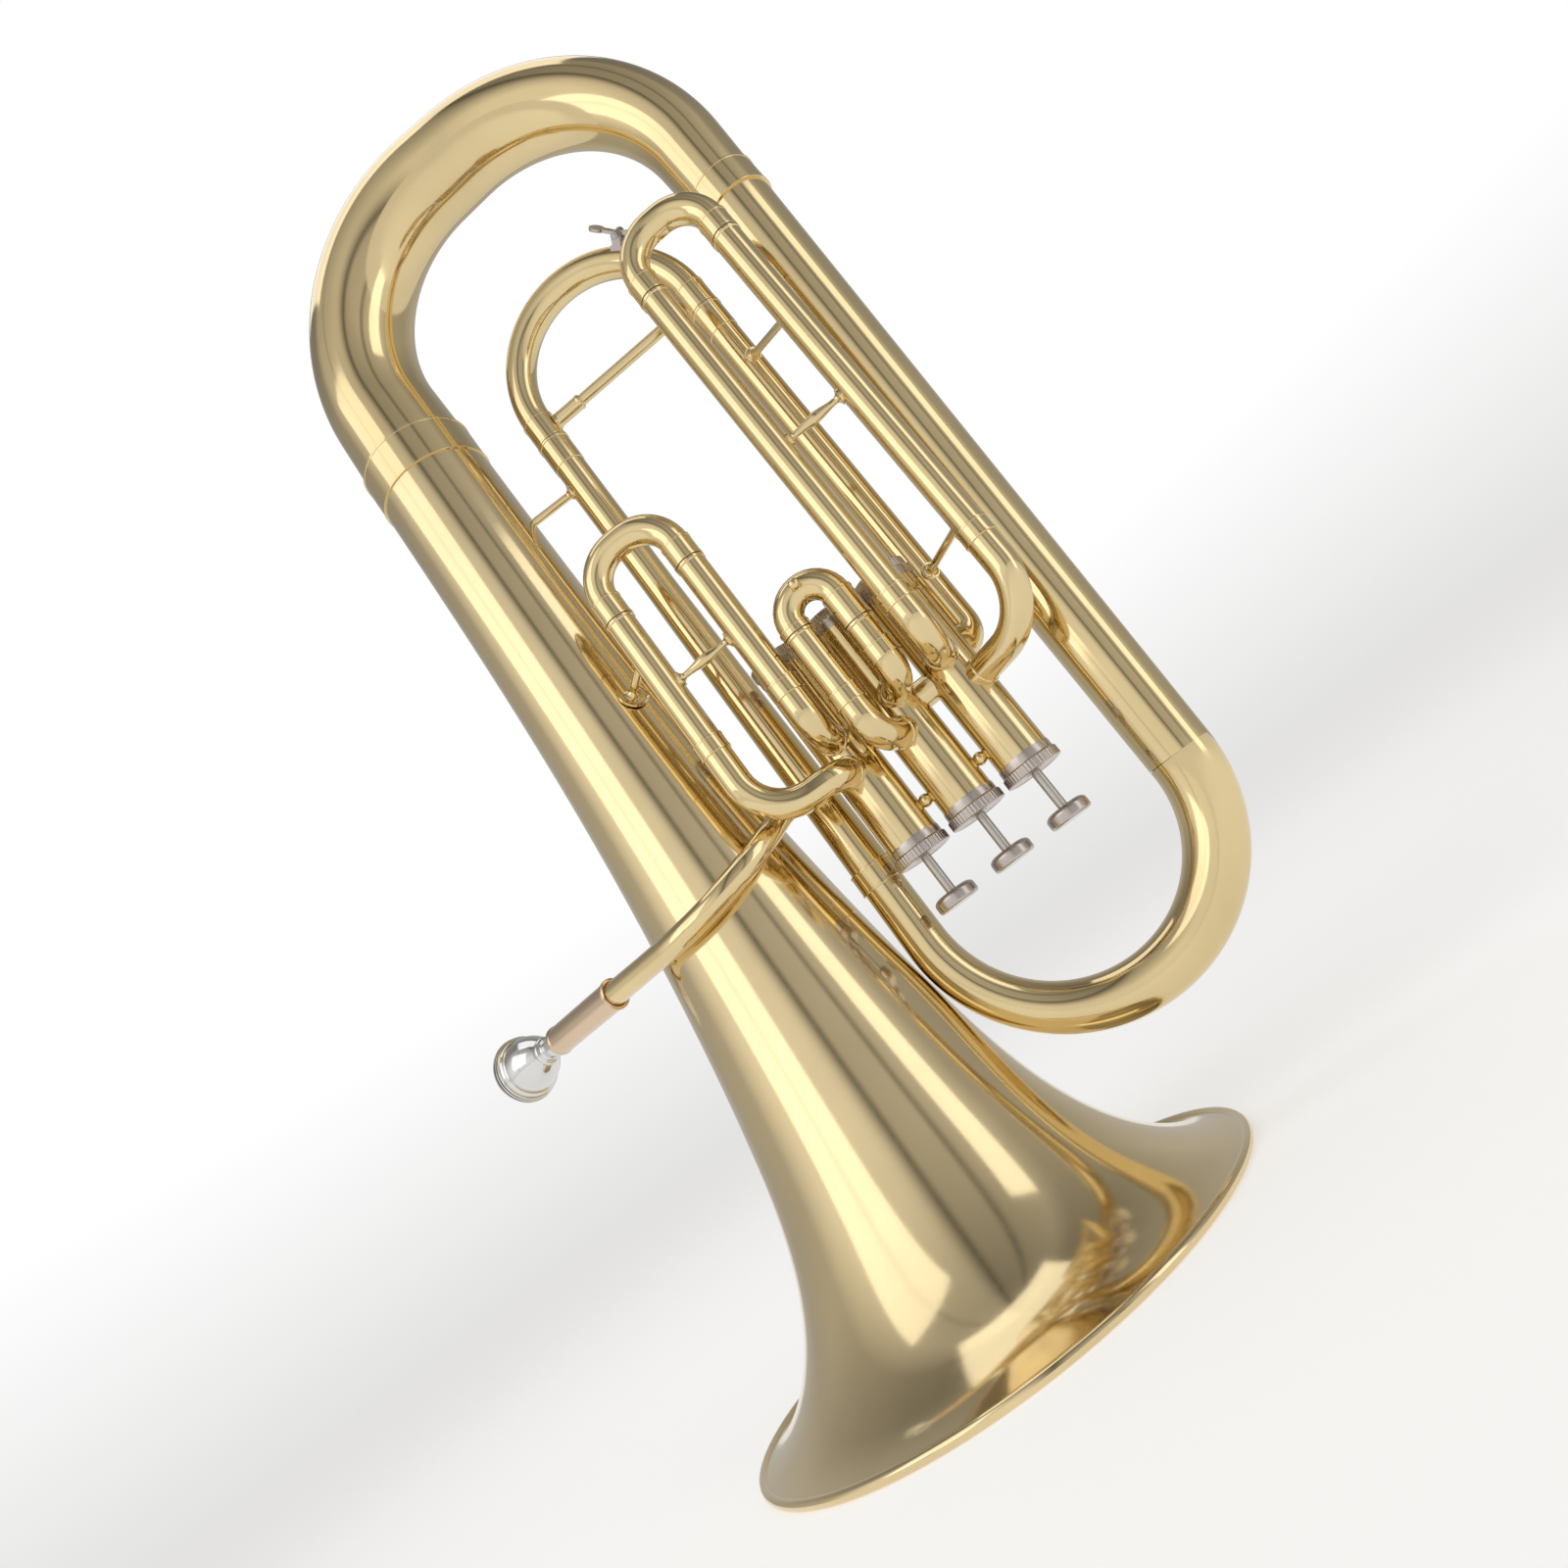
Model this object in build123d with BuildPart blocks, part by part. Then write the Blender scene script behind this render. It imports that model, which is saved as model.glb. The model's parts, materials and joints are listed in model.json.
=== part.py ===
"""Three-valve euphonium, standing on its bell: +Z up, origin at the centre of the bell's mouth.

The bell's axis is Z. The big bottom bow is at the top, the wide branch runs down the +X side,
the valves and their slides stand between the two, facing -Y, and the leadpipe wraps round the
front of the bell to the mouthpiece on the -X side. All sizes are in millimetres.
"""

import os
from math import cos, hypot, pi, radians, sin

from build123d import *

os.makedirs("parts", exist_ok=True)

# ---------------------------------------------------------------- driving dimensions
SHEET = 1.0                 # thickness of the large brass work
WALL = 0.9                  # thickness of the small tubing

# bell: outer radius at each height above the mouth
BELL_OUTLINE = [(137.6, 3.2), (128.0, 5.8), (117.6, 10.5), (99.8, 25.0), (82.9, 50.0), (71.2, 80.0), (61.8, 120.0),
                (52.4, 180.0), (44.4, 250.0), (38.4, 330.0), (34.6, 430.0), (33.0, 536.0)]
BELL_TOP = 536.0
BELL_END_R = 33.0
RIM_R = 137.8               # centre circle of the wired rim
RIM_WIRE_R = 2.2
RIM_LIFT = 2.0              # wire centre above the floor: leaves a narrow flat land at z = 0

# big bottom bow (at the top of the standing instrument) and the branch on the +X side
BRANCH_X = 231.0
BRANCH_TOP = 540.0
BRANCH_TOP_R = 20.4
BRANCH_FOOT_X = 222.3
BRANCH_FOOT_Z = 152.4
BRANCH_FOOT_R = 16.5
BOW_SHOULDER = 581.0
BOW_BEND = 105.0
FERRULE_WALL = 0.9

# upper bow, return branch and tuning slide
RETURN_X = 69.5
RETURN_Y = 6.0
RETURN_FOOT_R = 11.2
RETURN_FERRULE_Z = 194.0
RETURN_FERRULE_R = 10.9
TUNING_LEG_R = 8.75         # outer sleeve of the main tuning slide
TUNING_BORE = 7.5
TUNING_X = (69.2, 182.5)
TUNING_SLEEVE_TOP = 501.7
TUNING_SLEEVE_FOOT = (392.0, 286.0)
TUNING_CROOK_Z = 519.0
TUNING_BEND = (TUNING_X[1] - TUNING_X[0]) / 2
TUNING_BRACE_Z = 511.5
TUNING_REACH = 98.0         # how far the inner tubes go down into the sleeves

# valves
VALVE_X = (96.3, 129.8, 163.3)
VALVE_Y = -10.0
CASING_R = 14.1
CASING_BORE = 12.85
CASING_Z = (187.4, 311.0)
CAP_R = 15.3
CAP_HEIGHT = 10.4
CAP_FACE = 1.6
PISTON_R = 12.79
PISTON_Z = (203.0, 279.0)
STEM_R = 2.6
BUTTON_R = 11.3
BUTTON_Z = (157.0, 164.4)
VALVE_TRAVEL = 16.0
PORT_BORE = 6.6
VALVE_BRACE_Z = 207.0

# valve slides
SLEEVE_R = 7.75
SLEEVE_BORE = 7.20
INNER_R = 7.13              # running fit in the sleeve
INNER_BORE = 6.6
FERRULE_R = 8.3
SLIDE_GAP = 0.35            # between a closed slide's ferrule and the mouth of its sleeve
SLIDE_Y = -44.0
FIRST_X = (48.0, 94.2)
FIRST_TURN = (88.2, -37.0)  # where the first slide's long elbow turns towards its casing
SECOND_X = (115.2, 141.4)
THIRD_X = (162.0, 208.6)
THIRD_Y = -52.0
LOW_PORT_Z = 239.0          # slide ports nearer the buttons
HIGH_PORT_Z = 257.5         # slide ports further from the buttons
EXIT_PORT_Z = 260.0
LEAD_PORT_Z = 245.5
CROSS_PORT_Z = 250.0

# leadpipe, receiver and mouthpiece
LEAD_R = 6.3
LEAD_START_R = 7.0          # at the receiver, narrowing to LEAD_R where the bends begin
LEAD_BENDS = [54.0, 20.0]
RIM_POINT = Vector(-162.0, 30.0, 230.0)       # centre of the mouthpiece's rim
LEAD_CORNER = Vector(20.1, -74.2, 218.0)      # where the receiver's line and the run past the bell meet
LEAD_TURN = Vector(55.2, -13.4, 247.0)        # where that run turns towards the first valve
RECEIVER_R = 8.0
RECEIVER_START = 44.0       # from the mouthpiece's rim to the receiver's lip
RECEIVER_LENGTH = 62.0
SOCKET_DEPTH = 32.0
CUP_R = 19.0
SHANK_LIP_R = 6.9           # the shank's taper: at the receiver's lip and at its end
SHANK_END_R = 6.3
SHANK_DEPTH = 30.0
BRACE_ON_LEAD = 140.0       # from the mouthpiece's rim to the post that stands on the bell

AXIS = Align.CENTER
FOOT = (Align.CENTER, Align.CENTER, Align.MIN)


def keep(part, name):
    """Give the finished piece its name and write it."""
    part.label = name
    export_step(part, f"parts/{name}.step")


def facing(origin, direction):
    """Plane at a point whose normal is a direction."""
    return Plane(origin=origin, z_dir=direction)


# ---------------------------------------------------------------- shared builders
def bent_tube(route, bends, outer, bore=0.0):
    """A tube of one size along straight runs joined by arcs, or a solid bar where there is no bore."""
    with BuildPart() as tube:
        with BuildLine() as path:
            FilletPolyline(*route, radius=bends)
        with BuildSketch(Plane(origin=path.line @ 0, z_dir=path.line % 0)):
            Circle(outer)
            if bore:
                Circle(bore, mode=Mode.SUBTRACT)
        sweep()
    return tube.part


def crook(x_left, x_right, y, z, bend, outer, bore=0.0):
    """The U of a slide: one half circle, or two quarter bends with a short flat between them."""
    middle = (x_left + x_right) / 2
    with BuildPart() as tube:
        with BuildLine() as path:
            if bend < (x_right - x_left) / 2:
                FilletPolyline((x_left, y, z - 1), (x_left, y, z + bend), (x_right, y, z + bend),
                               (x_right, y, z - 1), radius=bend)
            else:
                ThreePointArc((x_left, y, z), (middle, y, z + bend), (x_right, y, z))
        with BuildSketch(Plane(origin=path.line @ 0, z_dir=path.line % 0)):
            Circle(outer)
            if bore:
                Circle(bore, mode=Mode.SUBTRACT)
        sweep()
        split(bisect_by=Plane(origin=(0, 0, z)), keep=Keep.TOP)
    return tube.part


def conical_tube(stations, wall):
    """A tapering tube through a list of (plane, outer radius)."""
    with BuildPart() as tube:
        for plane, radius in stations:
            with BuildSketch(plane):
                Circle(radius)
        loft()
        for plane, radius in stations:
            with BuildSketch(plane):
                Circle(radius - wall)
        loft(mode=Mode.SUBTRACT)
    return tube.part


def turned_rod(start, end, waist, swell, feet):
    """A turned brace: a rod that swells in the middle, with a spreading foot of its own radius at each end."""
    along = end - start
    length = along.length
    side = Vector(0, 0, 1) if abs(along.normalized().Z) < 0.9 else Vector(0, 1, 0)
    with BuildPart() as rod:
        with BuildSketch(Plane(origin=start, x_dir=along, z_dir=side.cross(along))):
            with BuildLine():
                Polyline((length, 0), (0, 0), (0, feet[0]), (1.6, feet[0]))
                ThreePointArc((1.6, feet[0]), (2.6, waist + 0.5), (5.0, waist))
                Spline((5.0, waist), (length / 2, swell), (length - 5.0, waist),
                       tangents=((1, 0), (1, 0)))
                ThreePointArc((length - 5.0, waist), (length - 2.6, waist + 0.5), (length - 1.6, feet[1]))
                Polyline((length - 1.6, feet[1]), (length, feet[1]), (length, 0))
            make_face()
        revolve(axis=Axis(origin=start, direction=along))
    return rod.part


# ---------------------------------------------------------------- bell
def inside_of(outline, wall):
    """The same outline moved inwards, square to itself, by the sheet's thickness."""
    inner = []
    for index, (radius, height) in enumerate(outline):
        before = outline[max(index - 1, 0)]
        after = outline[min(index + 1, len(outline) - 1)]
        run = hypot(after[0] - before[0], after[1] - before[1])
        inner.append((radius - wall * (after[1] - before[1]) / run,
                      height - wall * (before[0] - after[0]) / run))
    return inner


def make_bell():
    inner = inside_of(BELL_OUTLINE, SHEET)
    inner[-1] = (BELL_END_R - SHEET, BELL_TOP)
    with BuildPart() as bell:
        with BuildSketch(Plane.XZ):
            with BuildLine():
                outside = Spline(*BELL_OUTLINE)
                inside = Spline(*inner)
                Line(outside @ 0, inside @ 0)
                Line(outside @ 1, inside @ 1)
            make_face()
        revolve(axis=Axis.Z)
        with BuildSketch(Plane.XZ):
            with Locations((RIM_R, RIM_LIFT)):
                Circle(RIM_WIRE_R)
        revolve(axis=Axis.Z, mode=Mode.SUBTRACT)
    keep(bell.part.solids().sort_by(SortBy.VOLUME)[-1], "bell")

    with BuildPart() as rim:
        with BuildSketch(Plane.XZ):
            with Locations((RIM_R, RIM_LIFT)):
                Circle(RIM_WIRE_R)
            with Locations((RIM_R, 0)):
                Rectangle(4 * RIM_WIRE_R, 2 * RIM_WIRE_R, align=(AXIS, Align.MAX), mode=Mode.SUBTRACT)
        revolve(axis=Axis.Z)
    keep(rim.part, "bell_rim_wire")


def ferrule(centre, direction, inner, length, name):
    """A band with a raised bead at each end, round a joint between two tubes."""
    outer = inner + FERRULE_WALL
    with BuildPart() as band:
        with BuildSketch(facing(centre, direction)):
            Circle(outer)
            Circle(inner, mode=Mode.SUBTRACT)
        extrude(amount=length / 2, both=True)
        for end in (-1, 1):
            with BuildSketch(facing(centre + direction * (end * (length / 2 - 0.6)), direction)):
                Circle(outer + 0.5)
                Circle(inner, mode=Mode.SUBTRACT)
            extrude(amount=0.6, both=True)
    keep(band.part, name)


# ---------------------------------------------------------------- bottom bow
def bow_stations():
    """Planes and radii from the bell's end, over the bow, to the branch's top."""
    arc = BOW_BEND * pi / 2
    flat = BRANCH_X - 2 * BOW_BEND
    total = (BOW_SHOULDER - BELL_TOP) + 2 * arc + flat + (BOW_SHOULDER - BRANCH_TOP)

    def radius(distance):
        return BELL_END_R - 0.4 - (BELL_END_R - 0.4 - BRANCH_TOP_R) * distance / total

    rise = BOW_SHOULDER - BELL_TOP
    stations = [(facing((0, 0, BELL_TOP), (0, 0, 1)), BELL_END_R)]
    stations += [(facing((0, 0, BELL_TOP + rise * part), (0, 0, 1)), radius(rise * part))
                 for part in (0.25, 0.5, 0.75)]
    travelled = rise
    steps = 6
    for step in range(steps + 1):
        turn = pi / 2 * step / steps
        centre = (BOW_BEND * (1 - cos(turn)), 0, BOW_SHOULDER + BOW_BEND * sin(turn))
        stations.append((facing(centre, (sin(turn), 0, cos(turn))), radius(travelled + arc * step / steps)))
    travelled += arc + flat
    for step in range(steps + 1):
        turn = pi / 2 * step / steps
        centre = (BRANCH_X - BOW_BEND + BOW_BEND * sin(turn), 0, BOW_SHOULDER + BOW_BEND * cos(turn))
        stations.append((facing(centre, (cos(turn), 0, -sin(turn))), radius(travelled + arc * step / steps)))
    travelled += arc
    fall = BOW_SHOULDER - BRANCH_TOP
    stations += [(facing((BRANCH_X, 0, BOW_SHOULDER - fall * part), (0, 0, -1)), radius(travelled + fall * part))
                 for part in (0.25, 0.5, 0.75, 1.0)]
    return stations


def make_large_branches():
    keep(conical_tube(bow_stations(), SHEET), "bottom_bow")
    ferrule(Vector(0, 0, BELL_TOP), Vector(0, 0, 1), BELL_END_R + 0.25, 24.0, "bell_ferrule")
    down = (0, 0, -1)
    stations = [(facing((BRANCH_X, 0, BRANCH_TOP), down), BRANCH_TOP_R),
                (facing((BRANCH_FOOT_X, 0, BRANCH_FOOT_Z), down), BRANCH_FOOT_R)]
    keep(conical_tube(stations, SHEET), "outer_branch")
    ferrule(Vector(BRANCH_X, 0, BRANCH_TOP), Vector(0, 0, 1), BRANCH_TOP_R + 0.35, 18.0, "branch_ferrule")


def make_upper_bow():
    """The bow beside the bell, from the branch's foot round to the return branch."""
    spread = BRANCH_FOOT_X - RETURN_X
    bend = spread / 2
    middle = (BRANCH_FOOT_X + RETURN_X) / 2
    steps = 12
    stations = []
    for step in range(steps + 1):
        part_way = step / steps
        turn = pi * part_way
        centre = (middle + bend * cos(turn), RETURN_Y * part_way, BRANCH_FOOT_Z - bend * sin(turn))
        along = (-sin(turn), 0, -cos(turn))
        stations.append((facing(centre, along), BRANCH_FOOT_R + (RETURN_FOOT_R - BRANCH_FOOT_R) * part_way))
    rise = RETURN_FERRULE_Z - BRANCH_FOOT_Z
    stations += [(facing((RETURN_X, RETURN_Y, BRANCH_FOOT_Z + rise * part), (0, 0, 1)),
                  RETURN_FOOT_R + (RETURN_FERRULE_R - RETURN_FOOT_R) * part) for part in (0.3, 0.6, 0.8, 1.0)]
    keep(conical_tube(stations, SHEET), "upper_bow")
    ferrule(Vector(RETURN_X, RETURN_Y, RETURN_FERRULE_Z), Vector(0, 0, 1), RETURN_FERRULE_R + 0.2, 12.0,
            "upper_bow_ferrule")
    stations = [(facing((RETURN_X, RETURN_Y, RETURN_FERRULE_Z), (0, 0, 1)), RETURN_FERRULE_R),
                (facing((TUNING_X[0], RETURN_Y, TUNING_SLEEVE_FOOT[0]), (0, 0, 1)), TUNING_LEG_R)]
    keep(conical_tube(stations, WALL), "return_branch")


# ---------------------------------------------------------------- valves
def port_direction(index, target):
    """Horizontal unit vector from a valve's axis towards a point."""
    return (Vector(target[0], target[1], 0) - Vector(VALVE_X[index], VALVE_Y, 0)).normalized()


PORTS = {
    0: [(port_direction(0, (LEAD_TURN.X, LEAD_TURN.Y)), LEAD_PORT_Z), (Vector(1, 0, 0), CROSS_PORT_Z),
        (port_direction(0, FIRST_TURN), LOW_PORT_Z), (port_direction(0, (FIRST_X[1], SLIDE_Y)), HIGH_PORT_Z)],
    1: [(Vector(-1, 0, 0), CROSS_PORT_Z), (Vector(1, 0, 0), CROSS_PORT_Z),
        (port_direction(1, (SECOND_X[0], SLIDE_Y)), LOW_PORT_Z),
        (port_direction(1, (SECOND_X[1], SLIDE_Y)), HIGH_PORT_Z)],
    2: [(Vector(-1, 0, 0), CROSS_PORT_Z), (port_direction(2, (TUNING_X[1], RETURN_Y)), EXIT_PORT_Z),
        (port_direction(2, (THIRD_X[1], THIRD_Y)), LOW_PORT_Z),
        (port_direction(2, (THIRD_X[0], THIRD_Y)), HIGH_PORT_Z)],
}


def make_casing(index):
    x = VALVE_X[index]
    foot, top = CASING_Z
    with BuildPart() as casing:
        with Locations((x, VALVE_Y, foot)):
            Cylinder(CASING_R, top - foot, align=FOOT)
            Cylinder(CASING_BORE, top - foot, align=FOOT, mode=Mode.SUBTRACT)
        for direction, height in PORTS[index]:
            with BuildSketch(facing((x, VALVE_Y, height), direction)):
                Circle(PORT_BORE)
            extrude(amount=CASING_R + 1, mode=Mode.SUBTRACT)
    keep(casing.part, f"valve_casing_{index + 1}")


def make_caps():
    """Screw caps: those at the button end have a hole for the stem, those at the far end a nipple."""
    with BuildPart() as top_caps:
        for x in VALVE_X:
            with Locations((x, VALVE_Y, CASING_Z[0] - CAP_FACE - 0.6)):
                Cylinder(CAP_R, CAP_HEIGHT, align=FOOT)
            with Locations((x, VALVE_Y, CASING_Z[0] - 0.1)):
                Cylinder(CASING_R + 0.03, CAP_HEIGHT, align=FOOT, mode=Mode.SUBTRACT)
            with Locations((x, VALVE_Y, CASING_Z[0] - 4)):
                Cylinder(STEM_R + 0.08, 6, align=FOOT, mode=Mode.SUBTRACT)
        rims = top_caps.edges().filter_by(GeomType.CIRCLE).filter_by(lambda e: abs(e.radius - CAP_R) < 0.01)
        chamfer(rims, 0.7)
    keep(top_caps.part, "valve_top_caps")

    with BuildPart() as bottom_caps:
        for x in VALVE_X:
            with Locations((x, VALVE_Y, CASING_Z[1] + CAP_FACE + 0.6)):
                Cylinder(CAP_R, CAP_HEIGHT, align=(AXIS, AXIS, Align.MAX))
            with Locations((x, VALVE_Y, CASING_Z[1] + 0.1)):
                Cylinder(CASING_R + 0.03, CAP_HEIGHT, align=(AXIS, AXIS, Align.MAX), mode=Mode.SUBTRACT)
        rims = bottom_caps.edges().filter_by(GeomType.CIRCLE).filter_by(lambda e: abs(e.radius - CAP_R) < 0.01)
        chamfer(rims, 0.7)
        for x in VALVE_X:
            with Locations((x, VALVE_Y, CASING_Z[1] + CAP_FACE + 0.5)):
                Cone(5.0, 3.4, 3.0, align=FOOT)
            with Locations((x, VALVE_Y, CASING_Z[1])):
                Cylinder(1.5, 8, align=FOOT, mode=Mode.SUBTRACT)
    keep(bottom_caps.part, "valve_bottom_caps")


def make_piston(index):
    """Hollow piston with a straight passage for the open valve and a side passage for the pressed one."""
    x = VALVE_X[index]
    foot, top = PISTON_Z
    pressed = [(direction, height - VALVE_TRAVEL) for direction, height in (PORTS[index][0], PORTS[index][2])]
    side_height = (pressed[0][1] + pressed[1][1]) / 2 - 3.0
    straight_height = CROSS_PORT_Z - 1.0
    passage = PORT_BORE - 0.6
    sides = [direction for direction, _ in pressed]
    with BuildPart() as piston:
        with Locations((x, VALVE_Y, foot)):
            Cylinder(PISTON_R, top - foot, align=FOOT)
        with Locations((x, VALVE_Y, foot + 1.2)):
            Cylinder(PISTON_R - WALL, top - foot - 2.4, align=FOOT, mode=Mode.SUBTRACT)
        with BuildSketch(facing((x, VALVE_Y, straight_height), (1, 0, 0))):
            Circle(passage + WALL)
        extrude(amount=CASING_R, both=True)
        for direction in sides:
            with BuildSketch(facing((x, VALVE_Y, side_height), direction)):
                Circle(passage + WALL)
            extrude(amount=CASING_R)
        with Locations((x, VALVE_Y, foot)):
            Cylinder(PISTON_R, top - foot, align=FOOT, mode=Mode.INTERSECT)
        with BuildSketch(facing((x, VALVE_Y, straight_height), (1, 0, 0))):
            Circle(passage)
        extrude(amount=CASING_R, both=True, mode=Mode.SUBTRACT)
        for direction in sides:
            with BuildSketch(facing((x, VALVE_Y, side_height), direction)):
                Circle(passage)
            extrude(amount=CASING_R, mode=Mode.SUBTRACT)
        with Locations((x, VALVE_Y, foot)):
            Cylinder(STEM_R, foot - BUTTON_Z[1], align=(AXIS, AXIS, Align.MAX))
            Cylinder(8.0, 2.2, align=(AXIS, AXIS, Align.MAX))
    keep(piston.part, f"piston_{index + 1}")


def make_button(index):
    with BuildPart() as button:
        with Locations((VALVE_X[index], VALVE_Y, BUTTON_Z[0])):
            Cylinder(BUTTON_R, BUTTON_Z[1] - BUTTON_Z[0], align=FOOT)
        fillet(button.edges(), 2.6)
        with Locations((VALVE_X[index], VALVE_Y, BUTTON_Z[0])):
            Cylinder(BUTTON_R - 3.6, 0.6, align=FOOT, mode=Mode.SUBTRACT)
    keep(button.part, f"finger_button_{index + 1}")


def make_spring(index):
    """Return spring between the piston and the far cap."""
    coil = 9.0
    wire = 0.7
    foot = PISTON_Z[1] + wire + 0.2
    rise = CASING_Z[1] - 0.2 - wire - foot
    with BuildPart() as spring:
        with BuildLine() as path:
            Helix(pitch=rise / 6.5, height=rise, radius=coil, center=(VALVE_X[index], VALVE_Y, foot))
        with BuildSketch(Plane(origin=path.line @ 0, z_dir=path.line % 0)):
            Circle(wire)
        sweep(is_frenet=True)
    keep(spring.part, f"valve_spring_{index + 1}")


def make_valve_links():
    """Short tubes and turned braces between neighbouring casings."""
    gap = VALVE_X[1] - VALVE_X[0]
    with BuildPart() as links:
        for x in VALVE_X[:2]:
            with BuildSketch(facing((x, VALVE_Y, CROSS_PORT_Z), (1, 0, 0))):
                Circle(PORT_BORE + 1.0)
                Circle(PORT_BORE, mode=Mode.SUBTRACT)
            extrude(amount=gap)
        with Locations(*[(x, VALVE_Y, CROSS_PORT_Z) for x in VALVE_X]):
            Cylinder(CASING_R, 40, mode=Mode.SUBTRACT)
    keep(links.part, "valve_link_tubes")

    beads = []
    for x in VALVE_X[:2]:
        with BuildPart() as bead:
            with BuildSketch(facing((x, VALVE_Y, VALVE_BRACE_Z), (1, 0, 0))):
                Circle(2.2)
            extrude(amount=gap)
            with Locations((x + gap / 2, VALVE_Y, VALVE_BRACE_Z)):
                Sphere(3.6)
            with Locations(*[(post, VALVE_Y, VALVE_BRACE_Z) for post in VALVE_X]):
                Cylinder(CASING_R, 40, mode=Mode.SUBTRACT)
        beads.append(bead.part)
    with BuildPart() as braces:
        add(beads)
    keep(braces.part, "valve_braces")


# ---------------------------------------------------------------- slide elbows
def casing_trim(part, index):
    """Cut a tube's end to the curve of the casing that it meets."""
    with BuildPart() as trimmed:
        add(part)
        with Locations((VALVE_X[index], VALVE_Y, CROSS_PORT_Z)):
            Cylinder(CASING_R, 160, mode=Mode.SUBTRACT)
    return trimmed.part


def port_collar(index, direction, height, outer):
    """The ring that is soldered round a tube where it meets a casing."""
    centre = Vector(VALVE_X[index], VALVE_Y, height) + direction * (CASING_R - 2.5)
    with BuildPart() as collar:
        with BuildSketch(facing(centre, direction)):
            Circle(outer + 0.7)
            Circle(outer - 0.3, mode=Mode.SUBTRACT)
        extrude(amount=5.0)
    return collar.part


def elbow(index, leg, foot, height, bend, outer=SLEEVE_R, bore=INNER_BORE, turn=None):
    """A tube from the foot of a slide's sleeve round into a valve casing, with a collar there."""
    x, y = leg
    route = [(x, y, foot), (x, y, height)]
    bends = [bend]
    if turn is not None:
        route.append((*turn, height))
        bends.append(10.0)
    direction = port_direction(index, route[-1])
    route.append((VALVE_X[index], VALVE_Y, height))
    with BuildPart() as joined:
        add(bent_tube(route, bends, outer, bore))
        add(port_collar(index, direction, height, outer))
    return casing_trim(joined.part, index)


def slide_elbows(name, index, legs, feet, heights, bends, turns=(None, None)):
    """The two elbows of one valve slide, each with the ferrule that joins it to its sleeve."""
    with BuildPart() as elbows:
        for leg, foot, height, bend, turn in zip(legs, feet, heights, bends, turns):
            add(elbow(index, leg, foot, height, bend, turn=turn))
            with Locations((*leg, foot - 5.0)):
                Cylinder(FERRULE_R, 9.0, align=FOOT)
                Cylinder(INNER_BORE, 5.0, align=FOOT, mode=Mode.SUBTRACT)
            with Locations((*leg, foot)):
                Cylinder(SLEEVE_R + 0.04, 4.0, align=FOOT, mode=Mode.SUBTRACT)
    keep(elbows.part, f"{name}_elbows")


def slide_parts(name, legs, tops, feet, crook_z, bend, reaches):
    """One valve slide: its fixed sleeves, and the inner tubes, ferrules and crook that pull out."""
    with BuildPart() as sleeves:
        for leg, top, foot in zip(legs, tops, feet):
            with Locations((*leg, foot)):
                Cylinder(SLEEVE_R, top - foot, align=FOOT)
            with Locations((*leg, top - 1.6)):
                Cylinder(FERRULE_R, 1.6, align=FOOT)
            with Locations((*leg, foot)):
                Cylinder(SLEEVE_BORE, top - foot, align=FOOT, mode=Mode.SUBTRACT)
    keep(sleeves.part, f"{name}_sleeves")

    with BuildPart() as inner:
        for leg, top, reach in zip(legs, tops, reaches):
            with Locations((*leg, top - reach)):
                Cylinder(INNER_R, crook_z - top + reach, align=FOOT)
                Cylinder(INNER_BORE, crook_z - top + reach, align=FOOT, mode=Mode.SUBTRACT)
    keep(inner.part, f"{name}_inner_tubes")

    with BuildPart() as ferrules:
        for leg, top in zip(legs, tops):
            height = crook_z - top - SLIDE_GAP
            with Locations((*leg, top + SLIDE_GAP)):
                Cylinder(FERRULE_R - 0.25, height, align=FOOT)
            with Locations((*leg, crook_z - 1.2), (*leg, top + SLIDE_GAP)):
                Cylinder(FERRULE_R + 0.1, 1.2, align=FOOT)
            with Locations((*leg, top + SLIDE_GAP)):
                Cylinder(INNER_R + 0.02, height, align=FOOT, mode=Mode.SUBTRACT)
    keep(ferrules.part, f"{name}_ferrules")
    return crook(legs[0][0], legs[1][0], legs[0][1], crook_z, bend, SLEEVE_R, INNER_BORE)


def make_valve_slides():
    first = [(x, SLIDE_Y) for x in FIRST_X]
    second = [(x, SLIDE_Y) for x in SECOND_X]
    third = [(x, THIRD_Y) for x in THIRD_X]

    keep(slide_parts("first_slide", first, (368.6, 368.6), (287.0, 287.0), 382.0, 20.5, (76.0, 76.0)),
         "first_slide_crook")
    slide_elbows("first_slide", 0, first, (287.0, 287.0), (LOW_PORT_Z, HIGH_PORT_Z), (26.0, 17.0),
                 turns=(FIRST_TURN, None))

    bend = (SECOND_X[1] - SECOND_X[0]) / 2
    crown = Vector((SECOND_X[0] + SECOND_X[1]) / 2, SLIDE_Y, 308.0 + bend)
    pull = slide_parts("second_slide", second, (303.3, 289.6), (264.8, 272.0), 308.0, bend, (34.0, 16.6))
    with BuildPart() as second_crook:
        add(pull)
        with BuildSketch(facing(crown + Vector(0, -INNER_BORE - 0.4, 0), (0, -1, 0))):
            Circle(1.6)
        extrude(amount=4.0)
        with Locations(crown + Vector(0, -SLEEVE_R - 3.4, 0)):
            Sphere(3.0)
    keep(second_crook.part, "second_slide_crook")
    slide_elbows("second_slide", 1, second, (264.8, 272.0), (LOW_PORT_Z, HIGH_PORT_Z), (15.0, 13.0))

    keep(slide_parts("third_slide", third, (488.2, 488.2), (286.0, 286.0), 500.5, 20.5, (150.0, 150.0)),
         "third_slide_crook")
    slide_elbows("third_slide", 2, third, (286.0, 286.0), (HIGH_PORT_Z, LOW_PORT_Z), (18.0, 30.0))


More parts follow.
